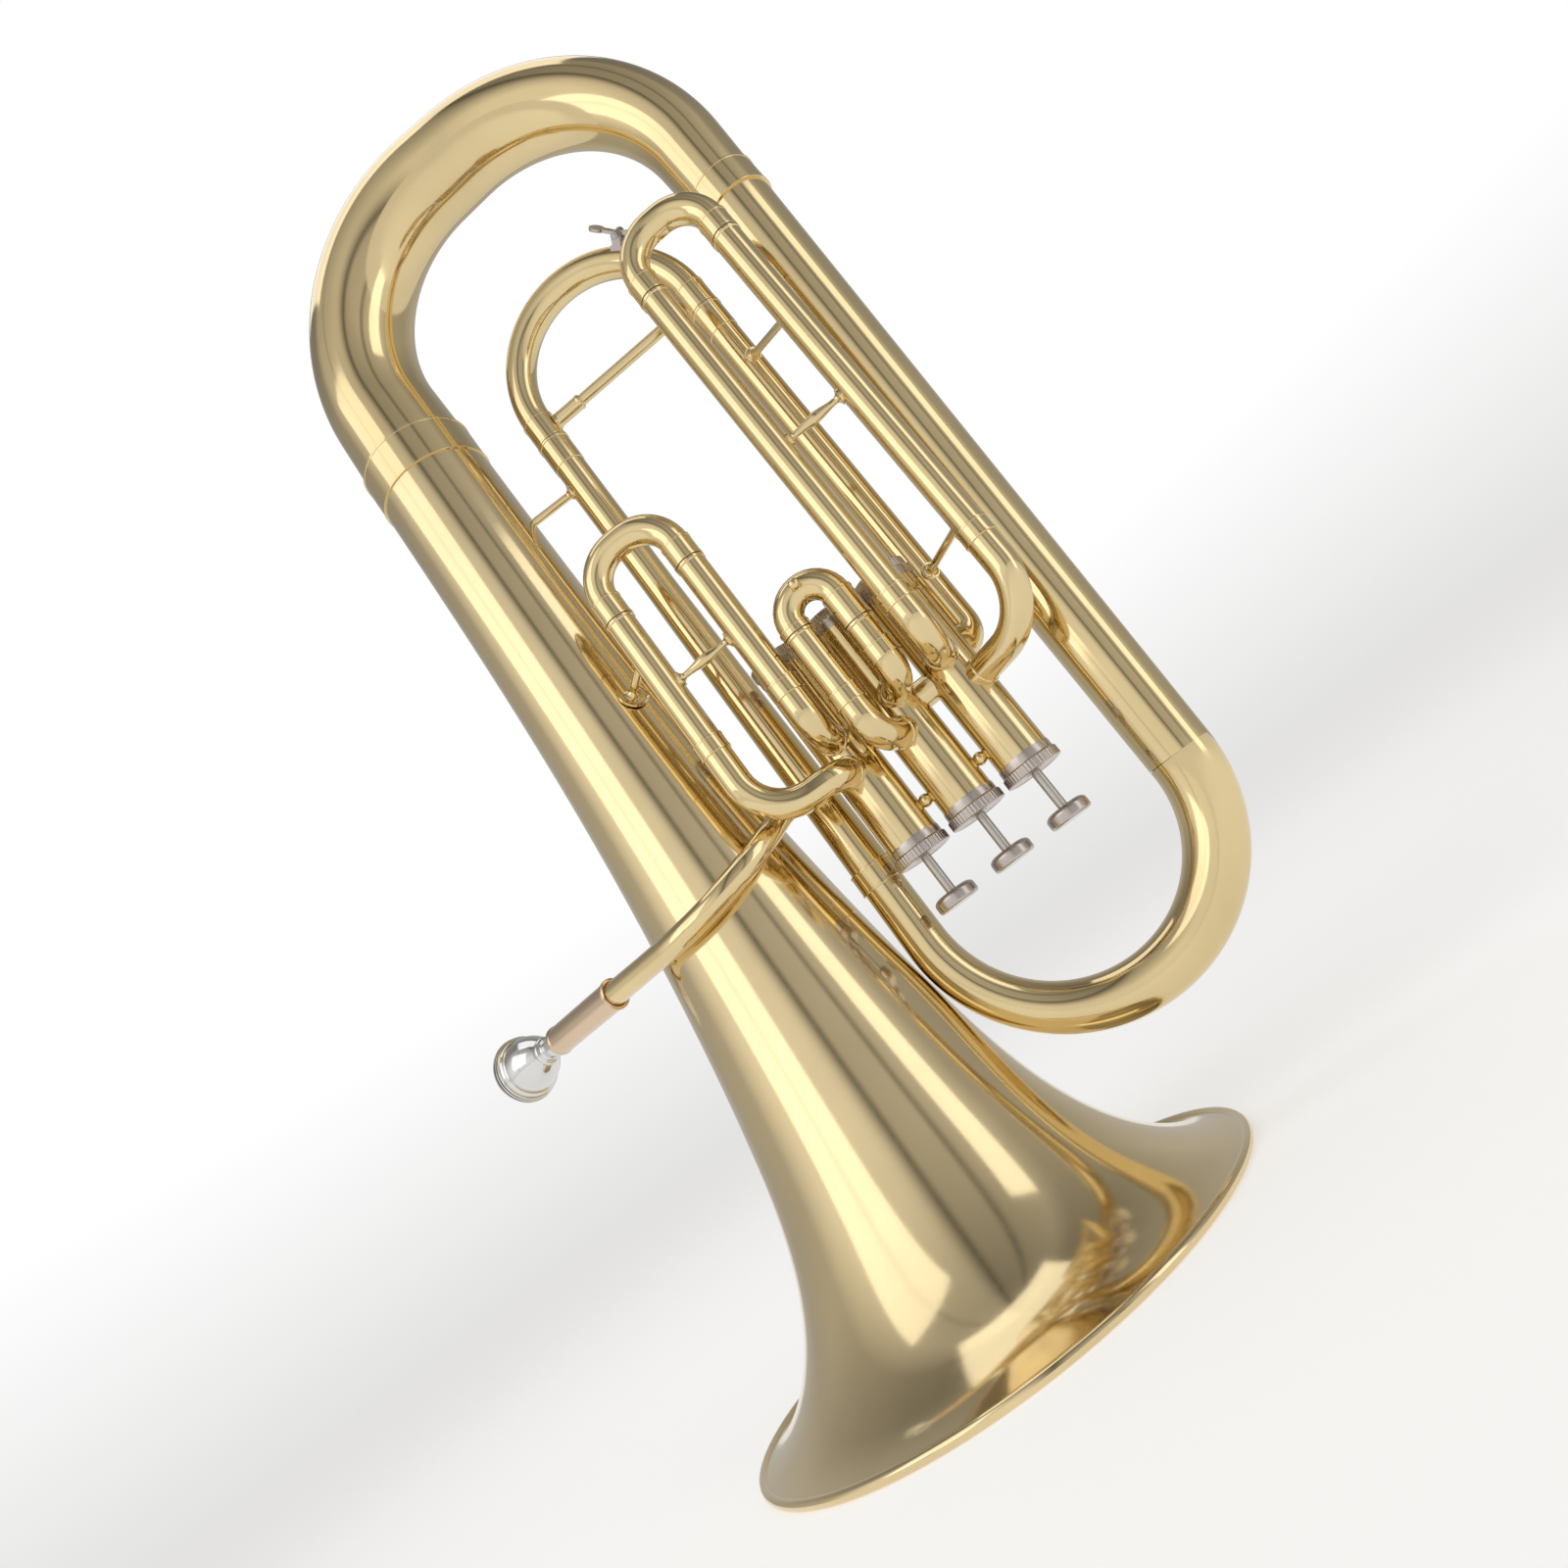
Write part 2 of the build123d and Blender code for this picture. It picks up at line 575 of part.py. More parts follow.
# ---------------------------------------------------------------- main tuning slide
def make_tuning_slide():
    """Sleeves fixed to the instrument, with the crook, inner tubes, ferrules and brace that pull out."""
    inner_r = TUNING_BORE + 0.5
    with BuildPart() as sleeves:
        for x, foot in zip(TUNING_X, TUNING_SLEEVE_FOOT):
            with Locations((x, RETURN_Y, foot)):
                Cylinder(TUNING_LEG_R, TUNING_SLEEVE_TOP - foot, align=FOOT)
            with Locations((x, RETURN_Y, TUNING_SLEEVE_TOP - 18.0)):
                Cylinder(TUNING_LEG_R + 0.45, 18.0, align=FOOT)
            with Locations((x, RETURN_Y, TUNING_SLEEVE_TOP - 1.4)):
                Cylinder(TUNING_LEG_R + 0.9, 1.4, align=FOOT)
            with Locations((x, RETURN_Y, foot)):
                Cylinder(inner_r + 0.06, TUNING_SLEEVE_TOP - foot, align=FOOT, mode=Mode.SUBTRACT)
    keep(sleeves.part, "tuning_slide_sleeves")

    foot = TUNING_SLEEVE_TOP - TUNING_REACH
    with BuildPart() as inner:
        for x in TUNING_X:
            with Locations((x, RETURN_Y, foot)):
                Cylinder(inner_r, TUNING_CROOK_Z - foot, align=FOOT)
                Cylinder(TUNING_BORE, TUNING_CROOK_Z - foot, align=FOOT, mode=Mode.SUBTRACT)
    keep(inner.part, "tuning_slide_inner_tubes")

    length = TUNING_CROOK_Z - TUNING_SLEEVE_TOP - SLIDE_GAP
    with BuildPart() as ferrules:
        for x in TUNING_X:
            with Locations((x, RETURN_Y, TUNING_SLEEVE_TOP + SLIDE_GAP)):
                Cylinder(TUNING_LEG_R + 0.4, length, align=FOOT)
            with Locations((x, RETURN_Y, TUNING_CROOK_Z - 1.2), (x, RETURN_Y, TUNING_SLEEVE_TOP + SLIDE_GAP)):
                Cylinder(TUNING_LEG_R + 0.8, 1.2, align=FOOT)
            with Locations((x, RETURN_Y, TUNING_SLEEVE_TOP + SLIDE_GAP)):
                Cylinder(inner_r + 0.02, length, align=FOOT, mode=Mode.SUBTRACT)
    keep(ferrules.part, "tuning_slide_ferrules")

    bow = crook(*TUNING_X, RETURN_Y, TUNING_CROOK_Z, TUNING_BEND, TUNING_LEG_R, TUNING_BORE)
    with BuildPart() as drained:
        add(bow)
        with Locations(key_place(KEY_PAD, 0, 0)):
            Cylinder(1.6, TUNING_LEG_R + 2, align=FOOT, mode=Mode.SUBTRACT)
    keep(drained.part, "tuning_slide_crook")

    with BuildPart() as brace:
        for x, way, radius, length in ((TUNING_X[0], 1, 4.1, 27.0), (TUNING_X[1], -1, 3.2, 95.0)):
            with BuildSketch(facing((x, RETURN_Y, TUNING_BRACE_Z), (way, 0, 0))):
                Circle(radius)
            extrude(amount=length)
        with Locations(*[(x, RETURN_Y, TUNING_BRACE_Z) for x in TUNING_X]):
            Cylinder(TUNING_LEG_R + 0.42, 30, mode=Mode.SUBTRACT)
    keep(brace.part, "tuning_slide_brace")

    keep(elbow(2, (TUNING_X[1], RETURN_Y), TUNING_SLEEVE_FOOT[1], EXIT_PORT_Z, 10.5,
               outer=TUNING_LEG_R, bore=TUNING_BORE), "valve_exit_elbow")


# ---------------------------------------------------------------- water key
KEY_TURN = radians(42)      # round the crook from its crown, towards +X
KEY_TILT = radians(45)      # leaning from straight out of the bend towards the front
KEY_PAD = 13.0              # from the pivot to the drain hole, along the crook
KEY_LIFT = 6.5              # pivot above the crook's wall
KEY_REACH = 12.0            # from the pivot to the thumb plate
KEY_GAP = 6.6               # between the saddle's ears


def key_place(along, across, up, turn=(0, 0, 0)):
    """A place in the water key's frame: +X along the crook, +Z straight out of its wall."""
    out = Vector(sin(KEY_TURN), 0, cos(KEY_TURN))
    centre = Vector((TUNING_X[0] + TUNING_X[1]) / 2, RETURN_Y, TUNING_CROOK_Z)
    frame = Plane(origin=centre + out * TUNING_BEND, x_dir=(cos(KEY_TURN), 0, -sin(KEY_TURN)),
                  z_dir=out * cos(KEY_TILT) + Vector(0, -1, 0) * sin(KEY_TILT))
    return frame.location * Location((along, across, up), turn)


def seated_on_crook(part):
    """The part with everything inside the crook's outer wall taken off."""
    solid_crook = crook(*TUNING_X, RETURN_Y, TUNING_CROOK_Z, TUNING_BEND, TUNING_LEG_R)
    with BuildPart() as seated:
        add(part)
        add(solid_crook, mode=Mode.SUBTRACT)
    return seated.part


def make_water_key():
    wall = TUNING_LEG_R
    pivot = wall + KEY_LIFT
    ear = 1.4
    across = (90, 0, 0)         # turns a cylinder to lie along the hinge line
    nipple_top = wall + 2.7

    with BuildPart() as nipple:
        with Locations(key_place(KEY_PAD, 0, 5.0)):
            Cylinder(3.4, nipple_top - 5.0, align=FOOT)
            Cylinder(1.6, nipple_top - 5.0, align=FOOT, mode=Mode.SUBTRACT)
    keep(seated_on_crook(nipple.part), "water_key_nipple")

    with BuildPart() as saddle:
        with Locations(key_place(0, 0, wall - 2.5)):
            Box(8.0, KEY_GAP + 2 * ear, 3.5, align=FOOT)
        for side in (-1, 1):
            with Locations(key_place(0, side * (KEY_GAP + ear) / 2, wall)):
                Box(5.0, ear, KEY_LIFT, align=FOOT)
            with Locations(key_place(0, side * (KEY_GAP + ear) / 2, pivot, across)):
                Cylinder(2.5, ear)
        with Locations(key_place(0, 0, pivot, across)):
            Cylinder(1.23, 2 * KEY_GAP, mode=Mode.SUBTRACT)
    keep(seated_on_crook(saddle.part), "water_key_saddle")

    with BuildPart() as screw:
        with Locations(key_place(0, 0, pivot, across)):
            Cylinder(1.2, KEY_GAP + 2 * ear + 2.4)
    keep(screw.part, "water_key_pivot_screw")

    with BuildPart() as lever:
        with Locations(key_place(0, 0, pivot, across)):
            Cylinder(2.3, KEY_GAP - 0.6)
        with Locations(key_place(KEY_PAD / 2, 0, pivot + 0.4)):
            Box(KEY_PAD, 3.6, 1.8)
        with Locations(key_place(KEY_PAD, 0, pivot - 0.5)):
            Cylinder(4.3, 2.8)
        with Locations(key_place(-KEY_REACH / 2, 0, pivot + 1.6, (0, 12, 0))):
            Box(KEY_REACH, 4.4, 1.8)
        with Locations(key_place(-KEY_REACH, 0, pivot + 2.9, (0, 12, 0))):
            Cylinder(4.4, 1.8)
        with Locations(key_place(0, 0, pivot, across)):
            Cylinder(1.26, 2 * KEY_GAP, mode=Mode.SUBTRACT)
        with Locations(key_place(KEY_PAD, 0, pivot - 2.2)):
            Cylinder(3.32, 1.6, mode=Mode.SUBTRACT)
    keep(lever.part, "water_key_lever")

    cork_foot = nipple_top + 0.05
    with BuildPart() as cork:
        with Locations(key_place(KEY_PAD, 0, cork_foot)):
            Cylinder(3.3, pivot - 1.4 - cork_foot, align=FOOT)
    keep(cork.part, "water_key_cork")

    with BuildPart() as spring:
        for side in (-1, 1):
            with Locations(key_place(0, side * (KEY_GAP / 2 + ear + 0.5), pivot, across)):
                Cylinder(2.2, 0.7)
                Cylinder(1.23, 0.7, mode=Mode.SUBTRACT)
    keep(spring.part, "water_key_spring")


# ---------------------------------------------------------------- leadpipe and mouthpiece
ALONG_LEAD = (LEAD_CORNER - RIM_POINT).normalized()


def on_lead(distance):
    """A point on the straight line from the centre of the mouthpiece's rim towards the leadpipe's bend."""
    return RIM_POINT + ALONG_LEAD * distance


def make_leadpipe():
    start = RECEIVER_START + SOCKET_DEPTH
    narrowed = start + 60.0
    port = Vector(VALVE_X[0], VALVE_Y, LEAD_PORT_Z)
    taper = conical_tube([(facing(on_lead(start), ALONG_LEAD), LEAD_START_R),
                          (facing(on_lead(narrowed), ALONG_LEAD), LEAD_R)], WALL)
    bends = bent_tube([on_lead(narrowed), LEAD_CORNER, LEAD_TURN, port], LEAD_BENDS, LEAD_R, LEAD_R - WALL)
    with BuildPart() as leadpipe:
        add(taper)
        add(bends)
        add(port_collar(0, PORTS[0][0][0], LEAD_PORT_Z, LEAD_R))
    keep(casing_trim(leadpipe.part, 0), "leadpipe")

    lip = on_lead(RECEIVER_START)
    with BuildPart() as receiver:
        with BuildSketch(facing(lip, ALONG_LEAD)):
            Circle(RECEIVER_R)
        extrude(amount=RECEIVER_LENGTH)
        chamfer(receiver.edges().sort_by(Axis(origin=lip, direction=ALONG_LEAD))[0], 2.4, 0.7)
        with BuildSketch(facing(on_lead(RECEIVER_START + RECEIVER_LENGTH - 2.4), ALONG_LEAD)):
            Circle(RECEIVER_R + 0.8)
        extrude(amount=2.4)
        with BuildSketch(facing(lip, ALONG_LEAD)):
            Circle(SHANK_LIP_R + 0.05)
        with BuildSketch(facing(on_lead(RECEIVER_START + SHANK_DEPTH), ALONG_LEAD)):
            Circle(SHANK_END_R + 0.05)
        loft(mode=Mode.SUBTRACT)
        with BuildSketch(facing(on_lead(RECEIVER_START + SHANK_DEPTH), ALONG_LEAD)):
            Circle(SHANK_END_R + 0.05)
        extrude(amount=SOCKET_DEPTH - SHANK_DEPTH, mode=Mode.SUBTRACT)
        with BuildSketch(facing(on_lead(start), ALONG_LEAD)):
            Circle(LEAD_START_R + 0.02)
        extrude(amount=RECEIVER_LENGTH, mode=Mode.SUBTRACT)
    keep(receiver.part, "mouthpiece_receiver")


def make_mouthpiece():
    """Cup mouthpiece, turned in one piece: rim, cup, throat and tapered shank."""
    shank_end = RECEIVER_START + SHANK_DEPTH
    across = Vector(0, 0, 1).cross(ALONG_LEAD)
    with BuildPart() as mouthpiece:
        with BuildSketch(Plane(origin=RIM_POINT, x_dir=ALONG_LEAD, z_dir=across)):
            with BuildLine():
                Spline((2.4, 12.6), (0.0, 15.4), (1.2, 18.2), (3.6, CUP_R))
                Line((3.6, CUP_R), (6.2, CUP_R - 0.7))
                Spline((6.2, CUP_R - 0.7), (13.0, 17.2), (20.0, 14.6), (28.0, 9.6), (35.0, 7.5), (42.0, 7.0))
                Polyline((42.0, 7.0), (RECEIVER_START, SHANK_LIP_R), (shank_end, SHANK_END_R),
                         (shank_end, SHANK_END_R - 1.0), (31.0, 3.4))
                Spline((31.0, 3.4), (25.0, 4.4), (15.5, 9.6), (7.0, 12.2), (2.4, 12.6))
            make_face()
        revolve(axis=Axis(origin=RIM_POINT, direction=ALONG_LEAD))
    keep(mouthpiece.part, "mouthpiece")


# ---------------------------------------------------------------- braces
def bell_core():
    """The bell and the space inside it as one solid, for seating a brace on the bell's wall."""
    with BuildPart() as core:
        with BuildSketch(Plane.XZ):
            with BuildLine():
                outside = Spline(*BELL_OUTLINE)
                Polyline(outside @ 1, (0, BELL_TOP), (0, BELL_OUTLINE[0][1]), outside @ 0)
            make_face()
        revolve(axis=Axis.Z)
    return core.part


def seated_rod(rod, tubes, core=None):
    """A brace with its feet shaped to the tubes it is soldered to, each given as (x, y, radius)."""
    with BuildPart() as seated:
        add(rod)
        for x, y, radius in tubes:
            with Locations((x, y, 360)):
                Cylinder(radius, 400, mode=Mode.SUBTRACT)
        if core is not None:
            add(core, mode=Mode.SUBTRACT)
    return seated.part


def make_braces():
    """Soldered braces between neighbouring tubes."""
    left = (FIRST_X[0], SLIDE_Y, SLEEVE_R)
    with BuildPart() as slide_braces:
        for (near, far), y, height in ((FIRST_X, SLIDE_Y, 324.4), (THIRD_X, THIRD_Y, 381.3)):
            start = Vector(near + SLEEVE_R - 1.0, y, height)
            end = Vector(far - SLEEVE_R + 1.0, y, height)
            add(seated_rod(turned_rod(start, end, 1.7, 3.0, (4.2, 4.2)),
                           [(near, y, SLEEVE_R), (far, y, SLEEVE_R)]))
    keep(slide_braces.part, "slide_braces")

    core = bell_core()
    start = Vector(27.2, -25.4, 341.0)
    end = Vector(FIRST_X[0] - 4.6, SLIDE_Y + 4.2, 346.0)
    keep(seated_rod(turned_rod(start, end, 2.2, 2.2, (8.5, 4.2)), [left], core), "bell_to_slide_brace")

    tuning = (TUNING_X[0], RETURN_Y, TUNING_LEG_R)
    start = Vector(30.0, 1.5, 469.7)
    end = Vector(TUNING_X[0] - TUNING_LEG_R + 1.5, 4.5, 469.7)
    keep(seated_rod(turned_rod(start, end, 2.3, 2.3, (6.5, 5.0)), [tuning], core), "bell_to_tuning_brace")

    right = (TUNING_X[1], RETURN_Y, TUNING_LEG_R)
    third = (THIRD_X[1], THIRD_Y, SLEEVE_R)
    across = (Vector(*third[:2]) - Vector(*right[:2])).normalized()
    with BuildPart() as pair:
        for near, far in ((458.0, 436.0), (300.0, 296.0)):
            start = Vector(*right[:2], near) + across * (TUNING_LEG_R - 1.0)
            end = Vector(*third[:2], far) - across * (SLEEVE_R - 1.0)
            add(seated_rod(turned_rod(start, end, 2.0, 2.0, (4.8, 4.2)), [right, third]))
    keep(pair.part, "tuning_to_third_braces")

    start = on_lead(BRACE_ON_LEAD)
    inward = Vector(-start.X, -start.Y, -8.0).normalized()
    rod = turned_rod(start + inward * (LEAD_R - 2.0), start + inward * 24.0, 2.6, 2.6, (5.0, 5.0))
    with BuildPart() as foot:
        add(rod)
        with BuildSketch(facing(on_lead(BRACE_ON_LEAD - 20.0), ALONG_LEAD)):
            Circle(LEAD_R + 0.35)
        extrude(amount=40, mode=Mode.SUBTRACT)
        add(core, mode=Mode.SUBTRACT)
    keep(foot.part, "bell_to_leadpipe_brace")


# ---------------------------------------------------------------- the whole instrument
make_bell()
make_large_branches()
make_upper_bow()
for valve in range(3):
    make_casing(valve)
    make_piston(valve)
    make_button(valve)
    make_spring(valve)
make_caps()
make_valve_links()
make_valve_slides()
make_tuning_slide()
make_water_key()
make_leadpipe()
make_mouthpiece()
make_braces()
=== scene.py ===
"""The looks of a three-valve euphonium that stands on its bell.

The visible CAD nodes are rebuilt here as smooth turned and bent sheet-metal shapes on the same lines and
at the same sizes. The others, such as pistons and inner tubes, keep their shape and get their finish.
Lengths are millimetres until they reach a mesh.
"""

import json
from math import cos, hypot, pi, radians, sin, sqrt, tan

import bmesh
import bpy
import numpy as np
from mathutils import Matrix, Vector


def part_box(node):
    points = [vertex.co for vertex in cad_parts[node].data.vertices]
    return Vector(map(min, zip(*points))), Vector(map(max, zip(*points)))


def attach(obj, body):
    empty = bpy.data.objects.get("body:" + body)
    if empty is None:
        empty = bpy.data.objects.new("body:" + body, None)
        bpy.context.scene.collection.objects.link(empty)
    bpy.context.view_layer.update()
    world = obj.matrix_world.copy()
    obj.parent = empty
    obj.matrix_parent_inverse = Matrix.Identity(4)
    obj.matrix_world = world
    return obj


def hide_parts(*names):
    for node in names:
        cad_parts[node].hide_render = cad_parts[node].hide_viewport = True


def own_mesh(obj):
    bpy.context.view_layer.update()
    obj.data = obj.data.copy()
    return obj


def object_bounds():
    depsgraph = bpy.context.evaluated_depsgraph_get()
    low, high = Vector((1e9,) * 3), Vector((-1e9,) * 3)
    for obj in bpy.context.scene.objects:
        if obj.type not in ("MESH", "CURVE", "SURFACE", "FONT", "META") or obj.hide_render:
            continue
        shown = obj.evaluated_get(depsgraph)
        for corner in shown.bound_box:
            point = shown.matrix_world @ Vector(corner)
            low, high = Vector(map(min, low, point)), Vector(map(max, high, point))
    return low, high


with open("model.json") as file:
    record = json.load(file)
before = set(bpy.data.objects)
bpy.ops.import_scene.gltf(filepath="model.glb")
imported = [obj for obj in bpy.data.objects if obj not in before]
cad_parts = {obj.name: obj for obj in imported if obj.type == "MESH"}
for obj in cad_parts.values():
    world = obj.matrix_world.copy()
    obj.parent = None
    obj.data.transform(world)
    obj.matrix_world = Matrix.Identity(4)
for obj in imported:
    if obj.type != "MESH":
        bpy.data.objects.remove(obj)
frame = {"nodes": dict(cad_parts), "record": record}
cad_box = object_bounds()
scene = bpy.context.scene
MM = 0.001

# ---------------------------------------------------------------- sizes shared with the CAD model
SHEET, THIN_SHEET = 1.0, 0.9
BELL_TOP, BELL_END_R = 536.0, 33.0
# Each point of the bell's outline is its radius and its height.
BELL_OUTLINE = [(137.6, 3.2), (128.0, 5.8), (117.6, 10.5), (99.8, 25.0), (82.9, 50.0), (71.2, 80.0),
                (61.8, 120.0), (52.4, 180.0), (44.4, 250.0), (38.4, 330.0), (34.6, 430.0),
                (BELL_END_R, BELL_TOP)]
RIM_R, RIM_WIRE_R = 137.8, 2.2
BRANCH_X, BRANCH_TOP, BRANCH_TOP_R = 231.0, 540.0, 20.4
BRANCH_FOOT_X, BRANCH_FOOT_Z, BRANCH_FOOT_R = 222.3, 152.4, 16.5
BOW_SHOULDER, BOW_BEND = 581.0, 105.0
RETURN_X, RETURN_Y = 69.5, 6.0
RETURN_FOOT_R, RETURN_FERRULE_R, RETURN_FERRULE_Z = 11.2, 10.9, 194.0
TUNING_X, TUNING_R, TUNING_BORE = (69.2, 182.5), 8.75, 7.5
TUNING_SLEEVE_TOP, TUNING_SLEEVE_FOOT, TUNING_CROOK_Z = 501.7, (392.0, 286.0), 519.0
TUNING_BRACE_Z = 511.5
VALVE_X, VALVE_Y = (96.3, 129.8, 163.3), -10.0
CASING_R, CASING_BORE, CASING_Z = 14.1, 12.85, (187.4, 311.0)
CAP_R, CAP_HEIGHT, CAP_FACE = 15.3, 10.4, 2.2
BUTTON_R, BUTTON_Z = 11.3, (157.0, 164.4)
SLEEVE_R, SLEEVE_BORE, INNER_BORE, FERRULE_R, SLIDE_GAP = 7.75, 7.2, 6.6, 8.3, 0.35
FIRST_X, SECOND_X, THIRD_X = (48.0, 94.2), (115.2, 141.4), (162.0, 208.6)
SLIDE_Y, THIRD_Y = -44.0, -52.0
FIRST_FEET, FIRST_TOPS, FIRST_CROOK_Z = (287.0, 287.0), (368.6, 368.6), 382.0
SECOND_FEET, SECOND_TOPS, SECOND_CROOK_Z = (264.8, 272.0), (303.3, 289.6), 308.0
THIRD_FEET, THIRD_TOPS, THIRD_CROOK_Z = (286.0, 286.0), (488.2, 488.2), 500.5
CROOK_BEND, TURN_BEND = 20.5, 10.0
FIRST_TURN = (88.2, -37.0)
LOW_PORT_Z, HIGH_PORT_Z, EXIT_PORT_Z, LEAD_PORT_Z = 239.0, 257.5, 260.0, 245.5
RIM_POINT = Vector((-162.0, 30.0, 230.0))
LEAD_CORNER = Vector((20.1, -74.2, 218.0))
LEAD_TURN = Vector((55.2, -13.4, 247.0))
LEAD_BENDS, LEAD_R, LEAD_START_R = (54.0, 20.0), 6.3, 7.0
RECEIVER_R, RECEIVER_START, RECEIVER_LENGTH, SOCKET_DEPTH = 8.0, 44.0, 62.0, 32.0
SHANK_LIP_R, SHANK_END_R, SHANK_DEPTH, CUP_R = 6.9, 6.3, 30.0, 19.0
UP = Vector((0, 0, 1))


# ---------------------------------------------------------------- materials
def new_material(name):
    """A material, its nodes and links, its shader and the coordinates that its patterns lie on."""
    material = bpy.data.materials.new(name)
    material.use_nodes = True
    nodes, links = material.node_tree.nodes, material.node_tree.links
    place = nodes.new("ShaderNodeTexCoord")
    return material, nodes, links, nodes["Principled BSDF"], place.outputs["Object"]


def metal(name, colour, roughness, ripple, grain, coat):
    """Polished metal: slow colour drift, uneven gloss, buffing marks and a faint hand-finished ripple."""
    material, nodes, links, shader, place = new_material(name)
    shader.inputs["Metallic"].default_value = 1.0
    shader.inputs["Coat Weight"].default_value = coat
    shader.inputs["Coat Roughness"].default_value = 0.04

    drift = nodes.new("ShaderNodeTexNoise")
    drift.inputs["Scale"].default_value = 14.0
    drift.inputs["Detail"].default_value = 4.0
    links.new(place, drift.inputs["Vector"])
    tint = nodes.new("ShaderNodeValToRGB")
    tint.color_ramp.elements[0].position = 0.3
    tint.color_ramp.elements[0].color = (*[channel * 0.90 for channel in colour], 1)
    tint.color_ramp.elements[1].position = 0.7
    tint.color_ramp.elements[1].color = (*colour, 1)
    links.new(drift.outputs["Fac"], tint.inputs["Fac"])
    links.new(tint.outputs["Color"], shader.inputs["Base Color"])

    marks = nodes.new("ShaderNodeTexNoise")
    marks.inputs["Scale"].default_value = grain
    marks.inputs["Detail"].default_value = 6.0
    links.new(place, marks.inputs["Vector"])
    gloss = nodes.new("ShaderNodeMapRange")
    gloss.inputs["To Min"].default_value = roughness * 0.7
    gloss.inputs["To Max"].default_value = roughness * 1.5
    links.new(marks.outputs["Fac"], gloss.inputs["Value"])
    links.new(gloss.outputs["Result"], shader.inputs["Roughness"])

    swell = nodes.new("ShaderNodeTexNoise")
    swell.inputs["Scale"].default_value = 26.0
    swell.inputs["Detail"].default_value = 1.0
    links.new(place, swell.inputs["Vector"])
    wavy = nodes.new("ShaderNodeBump")
    wavy.inputs["Strength"].default_value = ripple
    wavy.inputs["Distance"].default_value = 0.001
    links.new(swell.outputs["Fac"], wavy.inputs["Height"])
    fine = nodes.new("ShaderNodeBump")
    fine.inputs["Strength"].default_value = 0.02
    fine.inputs["Distance"].default_value = 0.00002
    links.new(marks.outputs["Fac"], fine.inputs["Height"])
    links.new(wavy.outputs["Normal"], fine.inputs["Normal"])
    links.new(fine.outputs["Normal"], shader.inputs["Normal"])
    return material


def cork():
    """Natural cork: light brown with dark pores."""
    material, nodes, links, shader, place = new_material("cork")
    shader.inputs["Roughness"].default_value = 0.85
    pores = nodes.new("ShaderNodeTexVoronoi")
    pores.inputs["Scale"].default_value = 1400.0
    links.new(place, pores.inputs["Vector"])
    ramp = nodes.new("ShaderNodeValToRGB")
    ramp.color_ramp.elements[0].color = (0.12, 0.06, 0.03, 1)
    ramp.color_ramp.elements[1].color = (0.45, 0.27, 0.13, 1)
    ramp.color_ramp.elements[1].position = 0.4
    links.new(pores.outputs["Distance"], ramp.inputs["Fac"])
    links.new(ramp.outputs["Color"], shader.inputs["Base Color"])
    bump = nodes.new("ShaderNodeBump")
    bump.inputs["Distance"].default_value = 0.0003
    links.new(pores.outputs["Distance"], bump.inputs["Height"])
    links.new(bump.outputs["Normal"], shader.inputs["Normal"])
    return material


def pearl():
    """Mother-of-pearl: pale, with soft clouded bands."""
    material, nodes, links, shader, place = new_material("pearl")
    shader.inputs["Roughness"].default_value = 0.18
    shader.inputs["Coat Weight"].default_value = 0.6
    cloud = nodes.new("ShaderNodeTexNoise")
    cloud.inputs["Scale"].default_value = 160.0
    cloud.inputs["Distortion"].default_value = 2.0
    links.new(place, cloud.inputs["Vector"])
    ramp = nodes.new("ShaderNodeValToRGB")
    ramp.color_ramp.elements[0].color = (0.62, 0.66, 0.66, 1)
    ramp.color_ramp.elements[1].color = (0.86, 0.80, 0.76, 1)
    links.new(cloud.outputs["Fac"], ramp.inputs["Fac"])
    links.new(ramp.outputs["Color"], shader.inputs["Base Color"])
    return material


BRASS = metal("lacquered_brass", (0.80, 0.64, 0.35), 0.09, 0.04, 420.0, 0.25)
BELL_BRASS = metal("bell_brass", (0.82, 0.665, 0.385), 0.10, 0.05, 300.0, 0.25)
ROSE_BRASS = metal("rose_brass", (0.74, 0.57, 0.40), 0.13, 0.03, 600.0, 0.1)
NICKEL = metal("nickel", (0.56, 0.50, 0.46), 0.24, 0.04, 900.0, 0.0)
SILVER = metal("silver", (0.80, 0.80, 0.79), 0.12, 0.03, 500.0, 0.0)
ALLOY = metal("piston_alloy", (0.55, 0.52, 0.48), 0.28, 0.02, 900.0, 0.0)
STEEL = metal("spring_steel", (0.42, 0.42, 0.43), 0.25, 0.02, 900.0, 0.0)
CORK = cork()
PEARL = pearl()
FINISHES = {"lacquered_brass": BRASS, "nickel_plate": NICKEL, "silver_plate": SILVER, "nickel_alloy": ALLOY,
            "spring_steel": STEEL, "cork": CORK}
SLOT_OF = {material: slot for slot, material in FINISHES.items()}
SLOT_OF[BELL_BRASS] = "lacquered_brass"
SLOT_OF[ROSE_BRASS] = "lacquered_brass"
SLOT_OF[PEARL] = "nickel_plate"


# ---------------------------------------------------------------- shapes
def across_of(direction):
    """Two unit vectors square to a direction."""
    rough = UP if abs(direction.z) < 0.9 else Vector((1, 0, 0))
    first = direction.cross(rough).normalized()
    return first, direction.cross(first).normalized()


